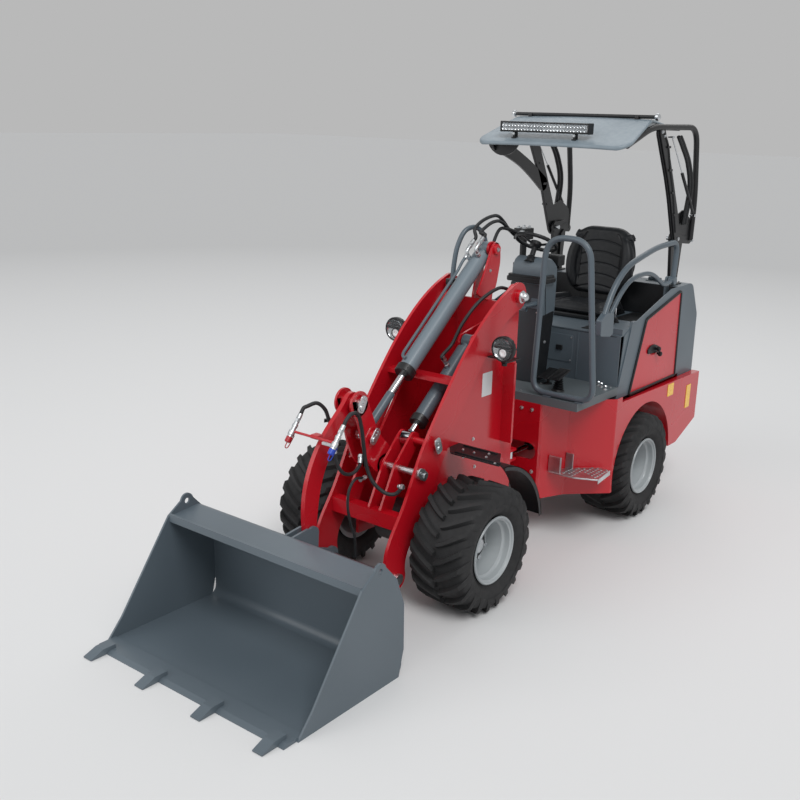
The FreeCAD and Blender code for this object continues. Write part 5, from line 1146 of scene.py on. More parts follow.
def pedals_and_levers():
    """A drive pedal over a rubber bellows, a second plate pedal, and three levers in rubber
    boots."""
    levers, boots = [], []
    top = box("seat_shell")[0][2] + 0.042
    for n in range(3):
        x, y = rear_x + 0.130 + 0.070 * n, 0.430
        boots.append(turned([(0, 0), (0, 0.026), (0.008, 0.025), (0.012, 0.019), (0.018, 0.021),
                             (0.024, 0.014), (0.030, 0.016), (0.038, 0.008), (0.038, 0)],
                            (x, y, top), (0.05, 0, 1), 24))
        levers.append(plain_rod(0.030, 0.112, 0.0055, (x, y, top), (0.05, 0, 1), 14))
        boots.append(turned([(0.108, 0), (0.108, 0.010), (0.118, 0.016), (0.134, 0.0185),
                             (0.148, 0.0165), (0.156, 0.009), (0.158, 0)], (x, y, top),
                            (0.05, 0, 1), 24))
    centre = np.array([NOSE - 0.210, 0.336, FLOOR])
    folds = [(0.0, 0.0), (0.0, 0.046)]
    for n in range(6):
        wide = 0.043 - 0.003 * n
        folds += [(0.008 + 0.015 * n, wide), (0.0155 + 0.015 * n, wide - 0.011)]
    folds += [(0.098, 0.024), (0.098, 0.0)]
    bellows = turned(folds, centre, (-0.12, 0, 1), 32)
    tread = rounded(oblong(-0.080, -0.004, 0.085, 0.006), 0.004, -0.043, 0.043, "y", 0.004)
    ribs = [rounded(oblong(a, 0.004, a + 0.006, 0.010), 0.001, -0.036, 0.036)
            for a in np.linspace(-0.068, 0.066, 9)]
    tilt = Matrix.Translation(centre + (-0.012, 0, 0.112)) @ Matrix.Rotation(math.radians(16), 4,
            "Y")
    plate_at = Matrix.Translation((NOSE - 0.330, 0.190,
                                   FLOOR + 0.075)) @ Matrix.Rotation(math.radians(14), 4, "Y")
    stalk = turned([(0, 0), (0, 0.030), (0.006, 0.028), (0.010, 0.010), (0.074, 0.010), (0.074, 0)],
                   (NOSE - 0.330, 0.190, FLOOR), UP, 20)
    rubber_parts = [bellows, stalk] + [placed(part, at) for at in (tilt, plate_at)
                                       for part in [tread] + ribs]
    piece("pedals", "rear_frame", abs_black, rubber_parts + boots, ("controls",))
    piece("lever_rods", "rear_frame", chrome, levers)
    knobs = [turned([(0, 0), (0, 0.016), (0.005, 0.015), (0.007, 0.009), (0.014, 0.012),
                     (0.024, 0.013), (0.031, 0.009), (0.033, 0)], (x, y, FLOOR), UP, 24)
             for x, y in ((NOSE - 0.545, 0.470), (NOSE - 0.520, 0.505), (NOSE - 0.470, 0.560),
                          (NOSE - 0.500, 0.440))]
    bolts = bolt_set([(x, y, FLOOR) for x in (NOSE - 0.035, NOSE - 0.300, NOSE - 0.540)
                      for y in (-0.565, 0.150, 0.565)], UP, 0.014, 0.006)
    piece("floor_fittings", "rear_frame", chrome, knobs)
    piece("floor_bolts", "rear_frame", zinc, bolts)


def cabinet_trim():
    """Black lining behind the seat, and the lid, ribs, seam and catch of the cabinet's front."""
    shelf = box("seat_shell")[0][2]
    wall = rear_x - 0.545
    deck = box("canopy_posts")[0][2]
    inner = HALF - 0.010
    back = block((wall, -inner + 0.006, shelf + 0.004), (wall + 0.006, inner - 0.006, deck - 0.002),
                 0.01, "x", 0.002)
    cheeks = [slab(eased([(wall + 0.008, shelf + 0.004), (wall + 0.008, deck - 0.008),
                          (rear_x - 0.420, deck - 0.010), (rear_x + 0.120, shelf + 0.066),
                          (rear_x + 0.330, shelf + 0.006)], 0.010), s * (inner - 0.004),
                   s * (inner - 0.0005), "y", 0.001) for s in (1, -1)]
    mat = rounded(oblong(wall + 0.01, -inner + 0.01, rear_x + 0.30, -0.250), 0.01, shelf,
                  shelf + 0.003, "z")
    piece("cabinet_lining", "rear_frame", abs_black,
          [back] + cheeks + [mat, mirrored(mat)])
    flange = slab([(NOSE - 0.585, FLOOR), (NOSE - 0.730, shelf + 0.080),
                   (NOSE - 0.785, shelf + 0.080), (NOSE - 0.675, FLOOR)], HALF - 0.020,
                  HALF + 0.002, "y", 0.001)
    piece("cabinet_flange", "rear_frame", tube_grey, [mirrored(flange)])
    face = NOSE - 0.580 + 0.0005
    frame_line = oblong(-0.250, FLOOR + 0.115, 0.230, FLOOR + 0.310)
    lid = rounded(frame_line, 0.012, face - 0.002, face + 0.0035, "x", 0.001)
    rib = [block((face - 0.002, y, FLOOR + 0.012), (face + 0.003, y + 0.010, FLOOR + 0.345), 0.001,
                 "x", 0.001) for y in (0.262, -0.290)]
    piece("cabinet_lid", "rear_frame", grey, [lid] + rib)
    seam_z = FLOOR + 0.348
    seam = block((face - 0.001, -0.560, seam_z), (face + 0.0006, 0.560, seam_z + 0.004), 0.001, "x")
    catch = rounded(oblong(0.100, FLOOR + 0.195, 0.150, FLOOR + 0.230), 0.006, face + 0.002,
                    face + 0.012, "x", 0.002)
    piece("cabinet_catch", "rear_frame", abs_black, [catch, seam])
    screws = bolt_set([(face + 0.0035, y, z) for y, z in ((-0.235, FLOOR + 0.130),
                                                          (0.215, FLOOR + 0.130),
                                                          (-0.235, FLOOR + 0.295),
                                                          (0.215, FLOOR + 0.295))], AHEAD, 0.010,
                      0.004)
    piece("cabinet_screws", "rear_frame", zinc, screws)


console()
steering_wheel()
hand_rails()
pedals_and_levers()
cabinet_trim()


# ---------------------------------------------------------------- bodywork, mudguards and step
# prismatic reflector: yellow acrylic with a fine cell pattern
reflex, tree, shader = new_material("reflex_acrylic", Roughness=0.2, Coat_Weight=0.5)
feed(tree, shader, Base_Color=ramp(tree, noise(tree, 5, 1), (0.35, "eaa800"), (0.65, "ffcc2a")))
bump(tree, shader, noise(tree, 4, 0), 0.3, 0.5)


def side_cover():
    """The red side covers with their rubber seals, catches and knobs."""
    corners = [(rear_x + 0.173, FLOOR - 0.089), (rear_x - 0.015, 1.466), (rear_x - 0.590, 1.605),
               (rear_x - 0.612, FLOOR - 0.087)]
    cover = slab(eased(corners, [0.012, 0.022, 0.022, 0.012]), HALF - 0.0048, HALF + 0.0006, "y",
                 0.0012)
    piece("side_covers", "rear_frame", red, [mirrored(cover)], ("side_panels",))
    line = eased(corners, [0.012, 0.022, 0.022, 0.012], 5)
    path = np.stack([line[:, 0], np.full(len(line), HALF - 0.0010), line[:, 1]], -1)
    seal = swept(path, circle(0.0105, 12), LEFT, True)
    piece("cover_seals", "rear_frame", abs_black, [mirrored(seal)])
    catch = rounded(off((rear_x, 0), [(-0.270, 1.190), (-0.075, 1.205), (-0.072, 1.240),
                                      (-0.120, 1.262), (-0.180, 1.262), (-0.270, 1.232)]), 0.014,
                    HALF, HALF + 0.010, "y", 0.002)
    knobs = [turned([(0, 0), (0, 0.008), (0.010, 0.010), (0.014, 0.017), (0.024, 0.019),
                     (0.034, 0.016), (0.038, 0.008), (0.039, 0)], (x, HALF + 0.008, z), LEFT, 24)
             for x, z in ((rear_x - 0.205, 1.226), (rear_x - 0.235, 1.185))]
    piece("cover_catches", "rear_frame", abs_black, both([catch] + knobs))


def reflectors():
    """Plain yellow reflectors on the flanks."""
    y = box("bodywork_left")[1][1] + 0.0002
    plates = []
    for x0, x1, z0, z1 in ((rear_x - 0.490, rear_x - 0.385, 0.830, 0.925),
                           (rear_x - 0.830, rear_x - 0.750, 0.665, 0.850)):
        plates.append(rounded(oblong(x0, z0, x1, z1), 0.006, y, y + 0.003, "y", 0.001))
    piece("flank_reflectors", "rear_frame", reflex, both(plates))


def fenders():
    """The front mudguards: an arched sheet with folded edges, a flat bracket and its bolts."""
    axle = joint_at["front_left_wheel"]
    radius, edge = 0.505, 0.700
    angle = np.radians(np.linspace(95.5, 171, 40))
    ring = np.stack([np.cos(angle), np.sin(angle)], -1)
    section = np.concatenate([ring * (radius + 0.004), (ring * radius)[::-1]]) + axle[[0, 2]]
    arch = slab(section, edge - 0.200, edge, "y")
    fold = np.concatenate([ring * (radius + 0.004), (ring * (radius - 0.022))[::-1]]) + axle[[0, 2]]
    hem = slab(fold, edge - 0.003, edge, "y")
    x, z = axle[0], axle[2] + radius
    bracket = rounded([(x - 0.235, 0.246), (x - 0.135, 0.246), (x - 0.045, 0.315),
                       (x - 0.045, edge - 0.040), (x - 0.235, edge - 0.150)], 0.008, z - 0.006,
                      z + 0.002, "z", 0.001)
    rib = [block((x - 0.215, 0.300, z + 0.001), (x - 0.200, edge - 0.160, z + 0.010), 0.002),
           block((x - 0.080, 0.330, z + 0.001), (x - 0.065, edge - 0.050, z + 0.010), 0.002)]
    piece("mudguards", "front_frame", abs_black, both([arch, hem, bracket] + rib),
          ("front_fenders",))
    bolts = bolt_set([(x + dx, y, z + 0.002) for dx, y in ((-0.14, 0.34), (-0.14, 0.42),
                                                           (-0.12, 0.52), (-0.06, 0.62),
                                                           (-0.18, 0.50))], UP, 0.014, 0.007)
    for degrees in (128, 142, 156):
        way = np.array([math.cos(math.radians(degrees)), 0, math.sin(math.radians(degrees))])
        bolts += hexagon(axle * (1, 0, 1) + (radius + 0.004) * way + (0, edge - 0.030, 0), way,
                         0.014, 0.007)
    piece("mudguard_bolts", "front_frame", zinc, both(bolts))


def step():
    """The tread: a folded plate on two hangers, with rows of raised rings round black discs,
    painted shade where the holes are.
    """
    z = 0.500
    outer, inner = 0.712, box("rear_chassis")[1][1] + 0.005
    x0, x1 = NOSE - 0.395, NOSE - 0.085
    outline = [(x1, inner + 0.042), (x1 - 0.012, outer - 0.145), (NOSE - 0.165, outer),
               (x0, outer - 0.025), (x0, 0.606), (NOSE - 0.240, inner + 0.105)]
    tread = rounded(outline, 0.010, z - 0.010, z, "z", 0.0015)
    flange = rounded([(x0 + 0.004, outer - 0.027), (NOSE - 0.166, outer - 0.003),
                      (NOSE - 0.166, outer), (x0 + 0.004, outer - 0.024)], 0.0008, z - 0.034, z,
                     "z")
    hangers = [block((NOSE - 0.117, inner + 0.035, z - 0.010), (NOSE - 0.097, inner + 0.125,
                                                                z + 0.110), 0.006),
               block((NOSE - 0.240, inner + 0.092, z - 0.010), (NOSE - 0.232, inner + 0.150,
                                                                z + 0.110), 0.003)]
    piece("step_plate", "rear_frame", zinc, [tread, flange], ("step",))
    piece("step_hangers", "rear_frame", zinc, hangers)
    rings, hole_shades = [], []
    for row, y in enumerate(np.arange(outer - 0.040, inner + 0.120, -0.034)):
        for x in np.arange(x1 - 0.045 - 0.017 * (row % 2), x0 + 0.020, -0.034):
            if y > outer - 0.150 and x > NOSE - 0.165 - 0.45 * (outer - y - 0.03):
                continue
            if y < 0.630 and x < NOSE - 0.240 - 0.155 * (y - inner - 0.105) / 0.145 + 0.026:
                continue
            rings.append(turned([(-0.001, 0.0095), (0.0025, 0.0095), (0.003, 0.0082),
                                 (-0.001, 0.0078)], (x, y, z), UP, 12))
            # a thin black disc in each ring is painted shade for the hole
            hole_shades.append(plain_rod(-0.0005, 0.0004, 0.0080, (x, y, z), UP, 12))
    piece("step_rings", "rear_frame", zinc, rings)
    piece("step_holes", "rear_frame", abs_black, hole_shades)


def bellcrank_plates():
    """The rocker: two plates with a waist, their round heads and hubs."""
    top, crank, tilt = joint_at["link_turn"], joint_at["crank_turn"], eye_of("tilt_rod")
    x1, z1, x2, z2, x3, z3 = top[0], top[2], tilt[0], tilt[2], crank[0], crank[2]
    outline = [(x1 + 0.070, z1 + 0.030), (x1 + 0.048, z1 - 0.044), (x1 + 0.008, z1 - 0.119),
               (x2 + 0.088, z2 - 0.040), (x3 + 0.148, z3 + 0.050), (x3 + 0.070, z3 - 0.036),
               (x3 - 0.040, z3 - 0.040), (x3 - 0.095, z3 + 0.062), (x2 - 0.105, z2 - 0.040),
               (x2 - 0.050, z2 + 0.020), (x1 - 0.075, z1 + 0.005)]
    reach = [0.012, 0.02, 0.022, 0.03, 0.012, 0.025, 0.02, 0.012, 0.035, 0.02, 0.012]
    parts = []
    for low in (-0.010, -0.125):
        parts.append(slab(eased(outline, reach), low, low + 0.015, "y", 0.0015))
        for x, z, r, count in ((x1, z1, 0.076, 56), (x3, z3, 0.062, 48)):
            parts.append(turned([(0, PIN_HOLE), (0, r - 0.0015), (0.0015, r), (0.0135, r),
                                 (0.015, r - 0.0015), (0.015, PIN_HOLE)], (x, low, z), LEFT, count))
    parts.append(turned([(-0.0695, PIN_HOLE), (-0.0695, 0.042), (0.0695, 0.042),
                         (0.0695, PIN_HOLE)], (x3, -0.060, z3), LEFT, 44))
    parts += [turned([(0, 0), (0, 0.034), (0.014, 0.034), (0.016, 0.032), (0.016, 0)], (x2, y, z2),
                     (0, s, 0), 36) for y, s in ((0.0045, 1), (-0.1245, -1))]
    piece("rocker", "bellcrank", red, parts, ("bellcrank",))


def tower_ears():
    """The broad cheek beside the tilt cylinder's foot, and the boss of its pin."""
    pin = joint_at["tilt_barrel_swing"]
    x, z = pin[0], pin[2]
    outline = off((x, z), [(-0.048, 0.020), (-0.010, 0.050), (0.040, 0.036), (0.110, -0.120),
                           (0.200, -0.270), (0.060, -0.330), (-0.020, -0.250), (-0.060, -0.080)])
    cheek = slab(eased(outline, [0.03, 0.03, 0.04, 0.03, 0.02, 0.02, 0.04, 0.04]), 0.0035, 0.0185,
                 "y", 0.0015)
    boss = turned([(0, 0), (0, 0.034), (0.012, 0.034), (0.015, 0.031), (0.015, 0)], (x, 0.018, z),
                  LEFT, 36)
    piece("tower_cheek", "front_frame", red, [cheek, boss])
    screws = hexagon((x, 0.033, z), LEFT, 0.022, 0.010) + hexagon((x + 0.060, 0.0185, z - 0.130),
                                                                  LEFT, 0.016, 0.008)
    piece("tower_cheek_bolts", "front_frame", zinc, screws)


def hood_details():
    """Louvres on the rear hood, a few millimetres deep so that they stay within the tail."""
    tail = box("hood")[0][0]
    louvres = [block((tail + 0.0005, y0, z), (tail + 0.0060, y0 + 0.300, z + 0.010), 0.003, "x",
                     0.001) for z in np.linspace(0.980, 1.220, 9) for y0 in (-0.480, 0.180)]
    piece("hood_louvres", "hood", abs_black, louvres)


side_cover()
reflectors()
fenders()
step()
bellcrank_plates()
tower_ears()
hood_details()


# ---------------------------------------------------------------- canopy
# smoked polycarbonate dome of the beacon, near black until it is lit
smoked, tree, shader = new_material("smoked_dome", IOR=1.58, Coat_Weight=0.3)
feed(tree, shader, Base_Color=ramp(tree, noise(tree, 30, 2), (0.3, "141011"), (0.7, "1f1817")),
     Roughness=span(tree, noise(tree, 12, 2), 0.10, 0.18))

fold = joint_at["canopy_fold"]
roof_high = box("canopy_roof")[1]
ROOF_TOP, ROOF_FRONT = roof_high[2] + 0.020, roof_high[0]
ROOF_BACK, RIDGE = ROOF_FRONT - 0.950, ROOF_FRONT - 0.490
ROOF_RIM, ARM_SIDE = 0.013, 0.5125


def strap(start, end, half_widths, bow=0.0):
    """The outline of a bar with round ends between two points, its half widths eased along it."""
    start, end = np.asarray(start, float), np.asarray(end, float)
    way = unit(end - start)
    over = np.array([-way[1], way[0]])
    part = np.linspace(0, 1, 18)
    half = np.interp(part, np.linspace(0, 1, len(half_widths)), half_widths)
    middle = start + part[:, None] * (end - start) + bow * np.sin(np.pi * part)[:, None] * over
    arc = np.linspace(0.1, 0.9, 9) * np.pi
    head = end + half_widths[-1] * (np.sin(arc)[:, None] * way + np.cos(arc)[:, None] * over)
    foot = start - half_widths[0] * (np.sin(arc)[:, None] * way + np.cos(arc)[:, None] * over)
    return np.vstack([middle + half[:, None] * over, head, (middle - half[:, None] * over)[::-1],
                      foot])


def roof_height(x):
    """Height of the roof's middle surface: a lip at the front, a rise to the ridge and a fall
    behind it."""
    line = bent([(-ROOF_FRONT, ROOF_TOP - 0.184), (0.042 - ROOF_FRONT, ROOF_TOP - 0.166),
                 (-RIDGE, ROOF_TOP), (-ROOF_BACK, ROOF_TOP - 0.050)], [0.018, 0.060])
    return np.interp(-np.asarray(x), line[:, 0], line[:, 1]) - ROOF_RIM


def roof():
    """The moulded roof: at each station along it a flat loop with round rims. Its half width
    follows a trapezium with quarter-circle corners, and its thickness fades at both ends."""
    fade = ROOF_RIM * (1 - np.cos(np.linspace(0.12, 0.5, 6) * np.pi))
    inner = np.linspace(ROOF_FRONT - ROOF_RIM - 0.004, ROOF_BACK + ROOF_RIM + 0.004, 58)
    x = np.concatenate([ROOF_FRONT - fade, inner, (ROOF_BACK + fade)[::-1]])
    from_front, from_back = ROOF_FRONT - x, x - ROOF_BACK
    end = np.minimum(np.minimum(from_front, from_back), ROOF_RIM)
    rim = np.sqrt(np.maximum(ROOF_RIM ** 2 - (ROOF_RIM - end) ** 2, 1e-7))
    half = 0.600 - 0.135 * from_front / (ROOF_FRONT - ROOF_BACK)
    for distance, corner in ((from_front, 0.120), (from_back, 0.100)):
        near = np.clip(corner - distance, 0, corner)
        half = half - (corner - np.sqrt(corner ** 2 - near ** 2))
    arc = np.linspace(-0.5, 0.5, 9) * np.pi
    across = np.linspace(-1, 1, 25)
    flat = (half - rim)[:, None]
    y = np.hstack([flat * across, flat + rim[:, None] * np.cos(arc)[::-1], flat * across[::-1],
                   -flat - rim[:, None] * np.cos(arc)])
    crown = 0.010 * (1 - (y / 0.6) ** 2)
    z = np.hstack([np.repeat(rim[:, None], 25, 1), rim[:, None] * np.sin(arc)[::-1],
                   np.repeat(-rim[:, None], 25, 1), rim[:, None] * np.sin(arc)])
    z = z + roof_height(x)[:, None] + crown
    points = np.stack([np.repeat(x[:, None], y.shape[1], 1), y, z], -1)
    piece("roof_shell", "canopy", roof_plastic, [skin(points, False, True, True)],
          ("canopy_roof",), 40)
    bolts = bolt_set([(RIDGE - dx, y, roof_height(RIDGE - dx) + ROOF_RIM + 0.009)
                      for dx in (0.10, 0.36) for y in (-0.40, 0.40)], UP, 0.015, 0.007)
    piece("roof_bolts", "canopy", zinc, bolts)


def posts():
    """The fixed posts on the deck: a broad plate on a foot with a web, the hinge boss and bolts."""
    deck, side = box("canopy_posts")[0][2], 0.500
    x, z = fold[0], fold[2]
    outline = [(x - 0.130, deck), (x - 0.010, deck), (x + 0.040, z - 0.010), (x - 0.020, z + 0.040),
               (x - 0.160, z + 0.046), (x - 0.172, z)]
    plate_part = rounded(outline, [0.006, 0.006, 0.03, 0.02, 0.02, 0.03], side - 0.012,
                         side + 0.012)
    boss = plain_rod(-0.014, 0.014, 0.045, (x, side, z), LEFT, 40)
    pin_end = turned([(-0.042, 0), (-0.042, 0.016), (0.040, 0.016), (0.043, 0.013), (0.043, 0)],
                     (x, side, z), LEFT, 28)
    foot = block((x - 0.150, side - 0.045, deck), (x + 0.015, side + 0.045, deck + 0.010), 0.008,
                 "z", 0.002)
    web = rounded([(x - 0.122, deck), (x - 0.070, deck), (x - 0.070, z - 0.060),
                   (x - 0.120, z - 0.020)], 0.01, side - 0.026, side - 0.012)
    parts = both([plate_part, boss, foot, web])
    piece("post_plates", "rear_frame", black, parts, ("canopy_posts",))
    screws = bolt_set([(x + dx, side + 0.030, deck + 0.010) for dx in (-0.138, 0.003)], UP, 0.018,
                      0.010)
    screws += hexagon((x - 0.130, side + 0.012, z + 0.012), LEFT, 0.024, 0.012) + [pin_end]
    screws += hexagon((x - 0.055, side + 0.012, deck + 0.090), LEFT, 0.018, 0.010)
    piece("post_bolts", "rear_frame", zinc, both(screws))


def arms():
    """The folding arms with their hoops, braces, gas struts and the leads clipped along them."""
    inner = ARM_SIDE
    side = inner + 0.018
    under = ROOF_TOP - 0.038
    x, z = fold[0], fold[2]
    head = (RIDGE - 0.160, under - 0.045)
    foot = (x - 0.265, z - 0.030)
    widths = [0.062, 0.060, 0.052, 0.050, 0.054, 0.052]
    arm = slab(strap((x, z), head, widths, 0.020), inner, inner + 0.018, "y", 0.002)
    flange = slab(strap((x, z), head, [0.050, 0.048, 0.040, 0.038, 0.042, 0.040], 0.020),
                  inner + 0.016, inner + 0.030, "y", 0.003)
    tie = slab(strap((x, z), foot, [0.044, 0.030, 0.029]), inner, inner + 0.014, "y", 0.002)
    lip = ROOF_FRONT - 0.130
    hoop_line = [(foot[0], side, foot[1]), (foot[0] - 0.010, side, foot[1] + 0.320),
                 (foot[0] + 0.085, side, under - 0.012), (RIDGE - 0.010, side, under - 0.014),
                 (lip, side, roof_height(lip) - 0.026)]
    hoop = tube(hoop_line, 0.021, [0.12, 0.13, 0.12])
    web = rounded([(x + 0.030, z - 0.030), (x + 0.045, z + 0.160), (x - 0.100, z + 0.210),
                   (foot[0] + 0.020, z + 0.130), (foot[0] - 0.020, z - 0.050)], 0.030,
                  inner + 0.002, inner + 0.012)
    boss = turned([(-0.004, 0.016), (-0.004, 0.050), (0.020, 0.050), (0.024, 0.044),
                   (0.024, 0.016)], (x, inner + 0.004, z), LEFT, 40)
    cross = plain_rod(-side, side, 0.016, (RIDGE - 0.455, 0, under - 0.022), LEFT, 24)
    front_tube = plain_rod(-side, side, 0.014, (lip - 0.02, 0, roof_height(lip - 0.02) - 0.030),
                           LEFT, 24)
    parts = both([arm, flange, tie, hoop, web, boss]) + [cross, front_tube]
    piece("canopy_arms", "canopy", black, parts, ("canopy_frame",))
    top, bottom = np.array([RIDGE - 0.285, 0, 2.722]), np.array([foot[0] + 0.045, 0, 2.150])
    way = unit(bottom - top)
    reach = np.linalg.norm(bottom - top)
    y = inner + 0.044
    barrel = turned([(reach * 0.44, 0), (reach * 0.44, 0.008), (reach * 0.445, 0.0115),
                     (reach - 0.028, 0.0115), (reach - 0.018, 0.006), (reach, 0.006), (reach, 0)],
                    top + (0, y, 0), way, 20)
    rod = plain_rod(0, reach * 0.46, 0.0045, top + (0, y, 0), way, 14)
    studs = [turned([(-0.030, 0), (-0.030, 0.006), (0.004, 0.006), (0.010, 0.010), (0.016, 0.008),
                     (0.018, 0)], end + (0, y, 0), LEFT, 16) for end in (top, bottom)]
    piece("strut_barrels", "canopy", abs_black, [mirrored(barrel)])
    piece("strut_rods", "canopy", chrome, [mirrored(rod)] + both(studs))
    line = off((x, z), [(0.030, 0.06), (0.085, 0.20), (0.155, 0.36), (0.235, 0.52), (0.30, 0.68),
                        (0.40, 0.775)])
    leads = []
    for n, (y, lift) in enumerate(((inner + 0.020, 0.012), (inner + 0.030, 0.024),
                                   (inner + 0.010, 0.026))):
        sway = 0.006 * np.sin(np.arange(len(line)) * 1.7 + n)
        leads.append(hose([(a + lift + s, y, b - lift * 0.3) for (a, b), s in zip(line, sway)],
                          0.0080, 60, sides=10))
    for lift in (0.0, 0.045):
        leads.append(hose([(x - 0.060 - lift, inner + 0.030, z + 0.10),
                           (x - 0.105 - lift, inner + 0.034, z + 0.36),
                           (x - 0.030 - lift, inner + 0.034, z + 0.54),
                           (x + 0.080 - lift, inner + 0.030, z + 0.66),
                           (x + 0.150 - lift, inner + 0.022, z + 0.735)], 0.0130, 60, sides=12))
    clips = [block((a - 0.004, inner - 0.004, b - 0.024), (a + 0.046, inner + 0.040, b - 0.008),
                   0.004) for a, b in line[1:5]]
    piece("arm_leads", "canopy", abs_black, both(leads))
    piece("arm_clips", "canopy", black, both(clips))
    bolts = hexagon((x, inner + 0.026, z), LEFT, 0.030, 0.014)
    bolts += hexagon((foot[0], inner + 0.030, foot[1]), LEFT, 0.022, 0.012)
    bolts += bolt_set([(head[0] + dx, inner + 0.030, head[1] + dz)
                       for dx, dz in ((0.010, 0.0), (-0.030, -0.026))], LEFT, 0.020, 0.010)
    piece("arm_bolts", "canopy", zinc, both(bolts))
    disc_x = lip - 0.060
    disc_z = roof_height(disc_x) - 0.014
    turn = np.linspace(np.pi, 2 * np.pi, 33)
    half_disc = np.stack([-inner + 0.060 + 0.140 * np.cos(turn), disc_z + 0.140 * np.sin(turn)], -1)
    disc = slab(half_disc, disc_x, disc_x + 0.014, "x", 0.001)
    middle = (x + 0.45 * (head[0] - x), z + 0.45 * (head[1] - z))
    disc_arm = slab(strap(middle, (disc_x, disc_z - 0.060), [0.056, 0.046, 0.050], 0.030),
                    -inner - 0.018, -inner, "y", 0.001)
    piece("far_bracket", "canopy", black, [disc, disc_arm])


def ridge_bar():
    """The bar on the roof's ridge, on two saddles, with a bright knob at each end."""
    half = 0.548
    z = ROOF_TOP + 0.013
    bar = plain_rod(-half, half, 0.013, (RIDGE, 0, z), LEFT, 24)
    saddles = [block((RIDGE - 0.022, y - 0.014, z - 0.026), (RIDGE + 0.022, y + 0.014, z + 0.006),
                     0.006) for y in (-0.42, 0.42)]
    piece("ridge_bar", "canopy", black, [bar] + saddles)
    knob = turned([(0, 0), (0, 0.012), (0.006, 0.015), (0.010, 0.023), (0.020, 0.025),
                   (0.031, 0.022), (0.039, 0.011), (0.041, 0)], (RIDGE, half - 0.004, z), LEFT, 28)
    piece("ridge_knobs", "canopy", chrome, [mirrored(knob)])


def light_bar():
    """The lamp bar on the roof: a finned extrusion, its end caps, rows of reflector cells and a
    lens."""
    x0, x1 = ROOF_FRONT - 0.105, ROOF_FRONT - 0.045
    y0, y1 = -0.400, 0.290
    z0 = ROOF_TOP - 0.110
    z1 = z0 + 0.071
    shell = np.array([(x0, z0 + 0.006), (x0, z1 - 0.006), (x0 + 0.008, z1), (x1 - 0.006, z1),
                      (x1, z1 - 0.003), (x1, z1 - 0.008), (x1 - 0.016, z1 - 0.010),
                      (x1 - 0.016, z0 + 0.010), (x1, z0 + 0.008), (x1, z0 + 0.003),
                      (x1 - 0.006, z0), (x0 + 0.008, z0)])
    body = slab(shell, y0 + 0.010, y1 - 0.010)
    fins = [slab(off((x0, z), [(0.001, 0), (0.001, 0.003), (-0.008, 0.003), (-0.008, 0)]),
                 y0 + 0.02, y1 - 0.02) for z in np.linspace(z0 + 0.008, z1 - 0.012, 7)]
    caps = [rounded(oblong(x0 - 0.008, z0 - 0.001, x1 + 0.001, z1 + 0.001), 0.008, a, a + 0.010,
                    "y", 0.002) for a in (y0, y1 - 0.010)]
    feet = []
    for y in (-0.292, 0.178):
        ground = roof_height(x0 + 0.03) + ROOF_RIM + 0.006
        feet.append(block((x0 + 0.008, y - 0.008, ground), (x1 - 0.010, y + 0.008, z0 + 0.006),
                          0.003))
        feet.append(block((x0 + 0.002, y - 0.016, ground - 0.004),
                          (x1 - 0.004, y + 0.016, ground + 0.004), 0.003))
    piece("light_bar_body", "canopy", abs_black, [body] + fins + caps + feet,
          ("light_bar",))
    bolts = bolt_set([(x1 - 0.010, y, z0 - 0.012) for y in (-0.292, 0.178)], AHEAD, 0.013, 0.006)
    piece("light_bar_bolts", "canopy", zinc, bolts)
    board = slab(oblong(y0 + 0.012, z0 + 0.011, y1 - 0.012, z1 - 0.011), x1 - 0.016, x1 - 0.0145,
                 "x")
    piece("light_bar_board", "canopy", led, [board])
    pitch = (y1 - y0 - 0.030) / 26
    cells = [turned([(-0.014, 0.0), (-0.014, 0.004), (-0.002, 0.0110), (-0.001, 0.0122),
                     (-0.0145, 0.0055)], (x1 - 0.001, y0 + 0.015 + (n + 0.5) * pitch, z), AHEAD,
                    14) for n in range(26) for z in (z0 + 0.0225, z1 - 0.0225)]
    piece("light_bar_cells", "canopy", reflector, cells)
    front = rounded(oblong(y0 + 0.011, z0 + 0.010, y1 - 0.011, z1 - 0.010), 0.004, x1 + 0.0005,
                    x1 + 0.003, "x", 0.0008)
    piece("light_bar_lens", "canopy", lens, [front])


def beacon():
    """The rotating lamp behind the ridge: a turned base with a seal and a flat dome over it."""
    centre = np.array([ROOF_BACK + 0.140, 0.220, 0])
    centre[2] = roof_height(centre[0]) + ROOF_RIM + 0.002
    base = turned([(-0.004, 0.0), (-0.004, 0.056), (0.014, 0.056), (0.018, 0.053), (0.024, 0.053),
                   (0.026, 0.0)], centre, UP, 48)
    piece("beacon_base", "canopy", abs_black, [base], ("beacon",))
    part = np.linspace(0, 0.999, 14)
    profile = np.stack([0.025 + 0.040 * part, 0.051 * (1 - part ** 3.0) ** 0.5], -1)
    piece("beacon_dome", "canopy", smoked, [turned(profile, centre, UP, 48)])


roof()
posts()
arms()
ridge_bar()
light_bar()
beacon()


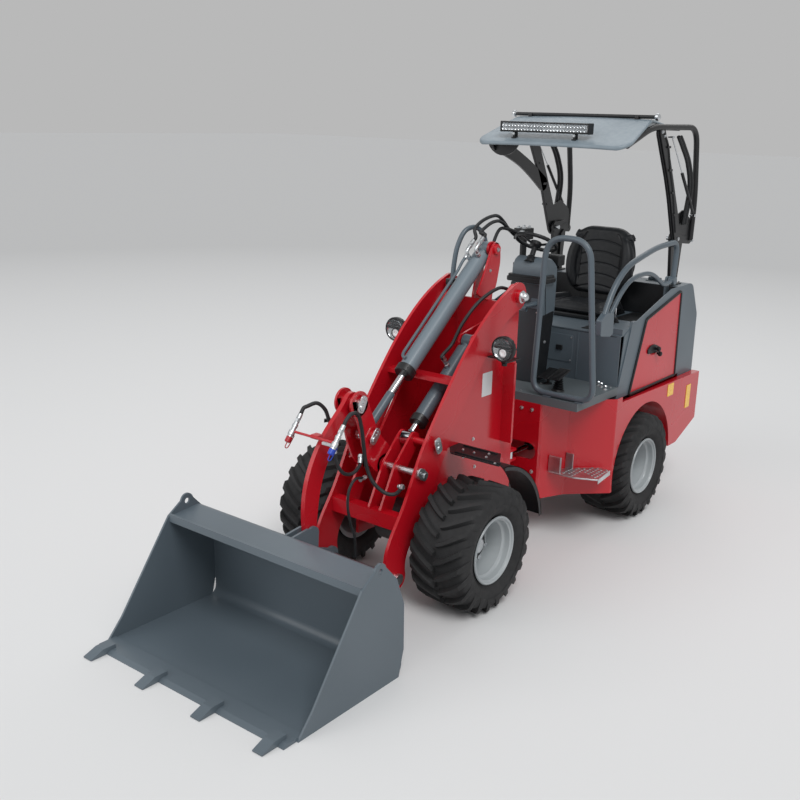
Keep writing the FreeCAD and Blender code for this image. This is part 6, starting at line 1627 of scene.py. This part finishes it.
# ---------------------------------------------------------------- stage, light and camera
def stage_floor():
    """A pale floor whose colour darkens gently with distance, a painted falloff of light, into a
    world of the same plain grey.
    """
    plane = bpy.data.meshes.new("floor")
    plane.from_pydata([(-90, -90, 0), (90, -90, 0), (90, 90, 0), (-90, 90, 0)], [], [(0, 1, 2, 3)])
    floor = put("floor", plane)
    made, tree, shader = new_material("pale_floor", Roughness=0.95, Specular_IOR_Level=0.0)
    place = add(tree, "ShaderNodeTexCoord").outputs["Object"]
    far = add(tree, "ShaderNodeVectorMath", {"operation": "LENGTH"}, _0=place).outputs["Value"]
    feed(tree, shader, Base_Color=ramp(tree, span(tree, far, 0, 1, 2.0, 16.0), (0.0, "dedede"),
                                       (1.0, "b7b7b7")))
    plane.materials.append(made)
    world = bpy.data.worlds.new("studio")
    bpy.context.scene.world = world
    world.use_nodes = True
    tree = world.node_tree
    plain = tree.nodes["Background"]
    plain.inputs["Color"].default_value = linear("eef0f2")
    plain.inputs["Strength"].default_value = 0.55
    paths = add(tree, "ShaderNodeLightPath")
    seen = add(tree, "ShaderNodeMath", {"operation": "MAXIMUM"}, _0=paths.outputs["Is Camera Ray"],
               _1=paths.outputs["Is Glossy Ray"])
    seen = add(tree, "ShaderNodeMath", {"operation": "MAXIMUM"}, _0=seen.outputs[0],
               _1=paths.outputs["Is Transmission Ray"])
    shown = add(tree, "ShaderNodeBackground", {"Color": linear("b9b9b9"), "Strength": 1.0})
    mixed = add(tree, "ShaderNodeMixShader", None, Fac=seen.outputs[0], _1=plain.outputs[0],
                _2=shown.outputs[0])
    tree.links.new(mixed.outputs[0], tree.nodes["World Output"].inputs["Surface"])


def lamp(name, towards, strength, spread):
    """A broad distant lamp, this many degrees wide, that shines the same on everything."""
    light = bpy.data.lights.new(name, "SUN")
    light.energy, light.angle = strength, math.radians(spread)
    made = put(name, light)
    made.rotation_euler = (-Vector(towards)).to_track_quat("-Z", "Y").to_euler()


# the camera's place, its focal length over its sensor's width, and its own three directions
VIEW_PLACE, VIEW_FOCAL = (5.2351, 3.575, 2.8319), 1015.48 / 800
VIEW_RIGHT, VIEW_UP = (-0.6168, 0.7867, 0.0263), (-0.1982, -0.1875, 0.9621)
VIEW_AHEAD = (-0.7618, -0.5881, -0.2716)


def camera():
    """The viewpoint: in front on the driver's left, looking down at the machine."""
    view = bpy.data.cameras.new("view")
    view.sensor_width = 36.0
    view.lens = VIEW_FOCAL * view.sensor_width
    view.clip_end = 200
    made = put("view", view)
    turn = Matrix([[VIEW_RIGHT[n], VIEW_UP[n], -VIEW_AHEAD[n]] for n in range(3)]).to_quaternion()
    made.rotation_mode = "QUATERNION"
    made.rotation_quaternion = turn.normalized()
    made.location = VIEW_PLACE
    bpy.context.scene.camera = made


stage_floor()
lamp("key", (0.45, 0.65, 1.0), 1.52, 30)
lamp("fill", (1.0, -0.45, 0.55), 0.66, 50)
lamp("back", (-0.9, -0.3, 0.8), 0.50, 50)
camera()

bpy.context.scene.view_settings.view_transform = "Standard"
bpy.context.view_layer.update()
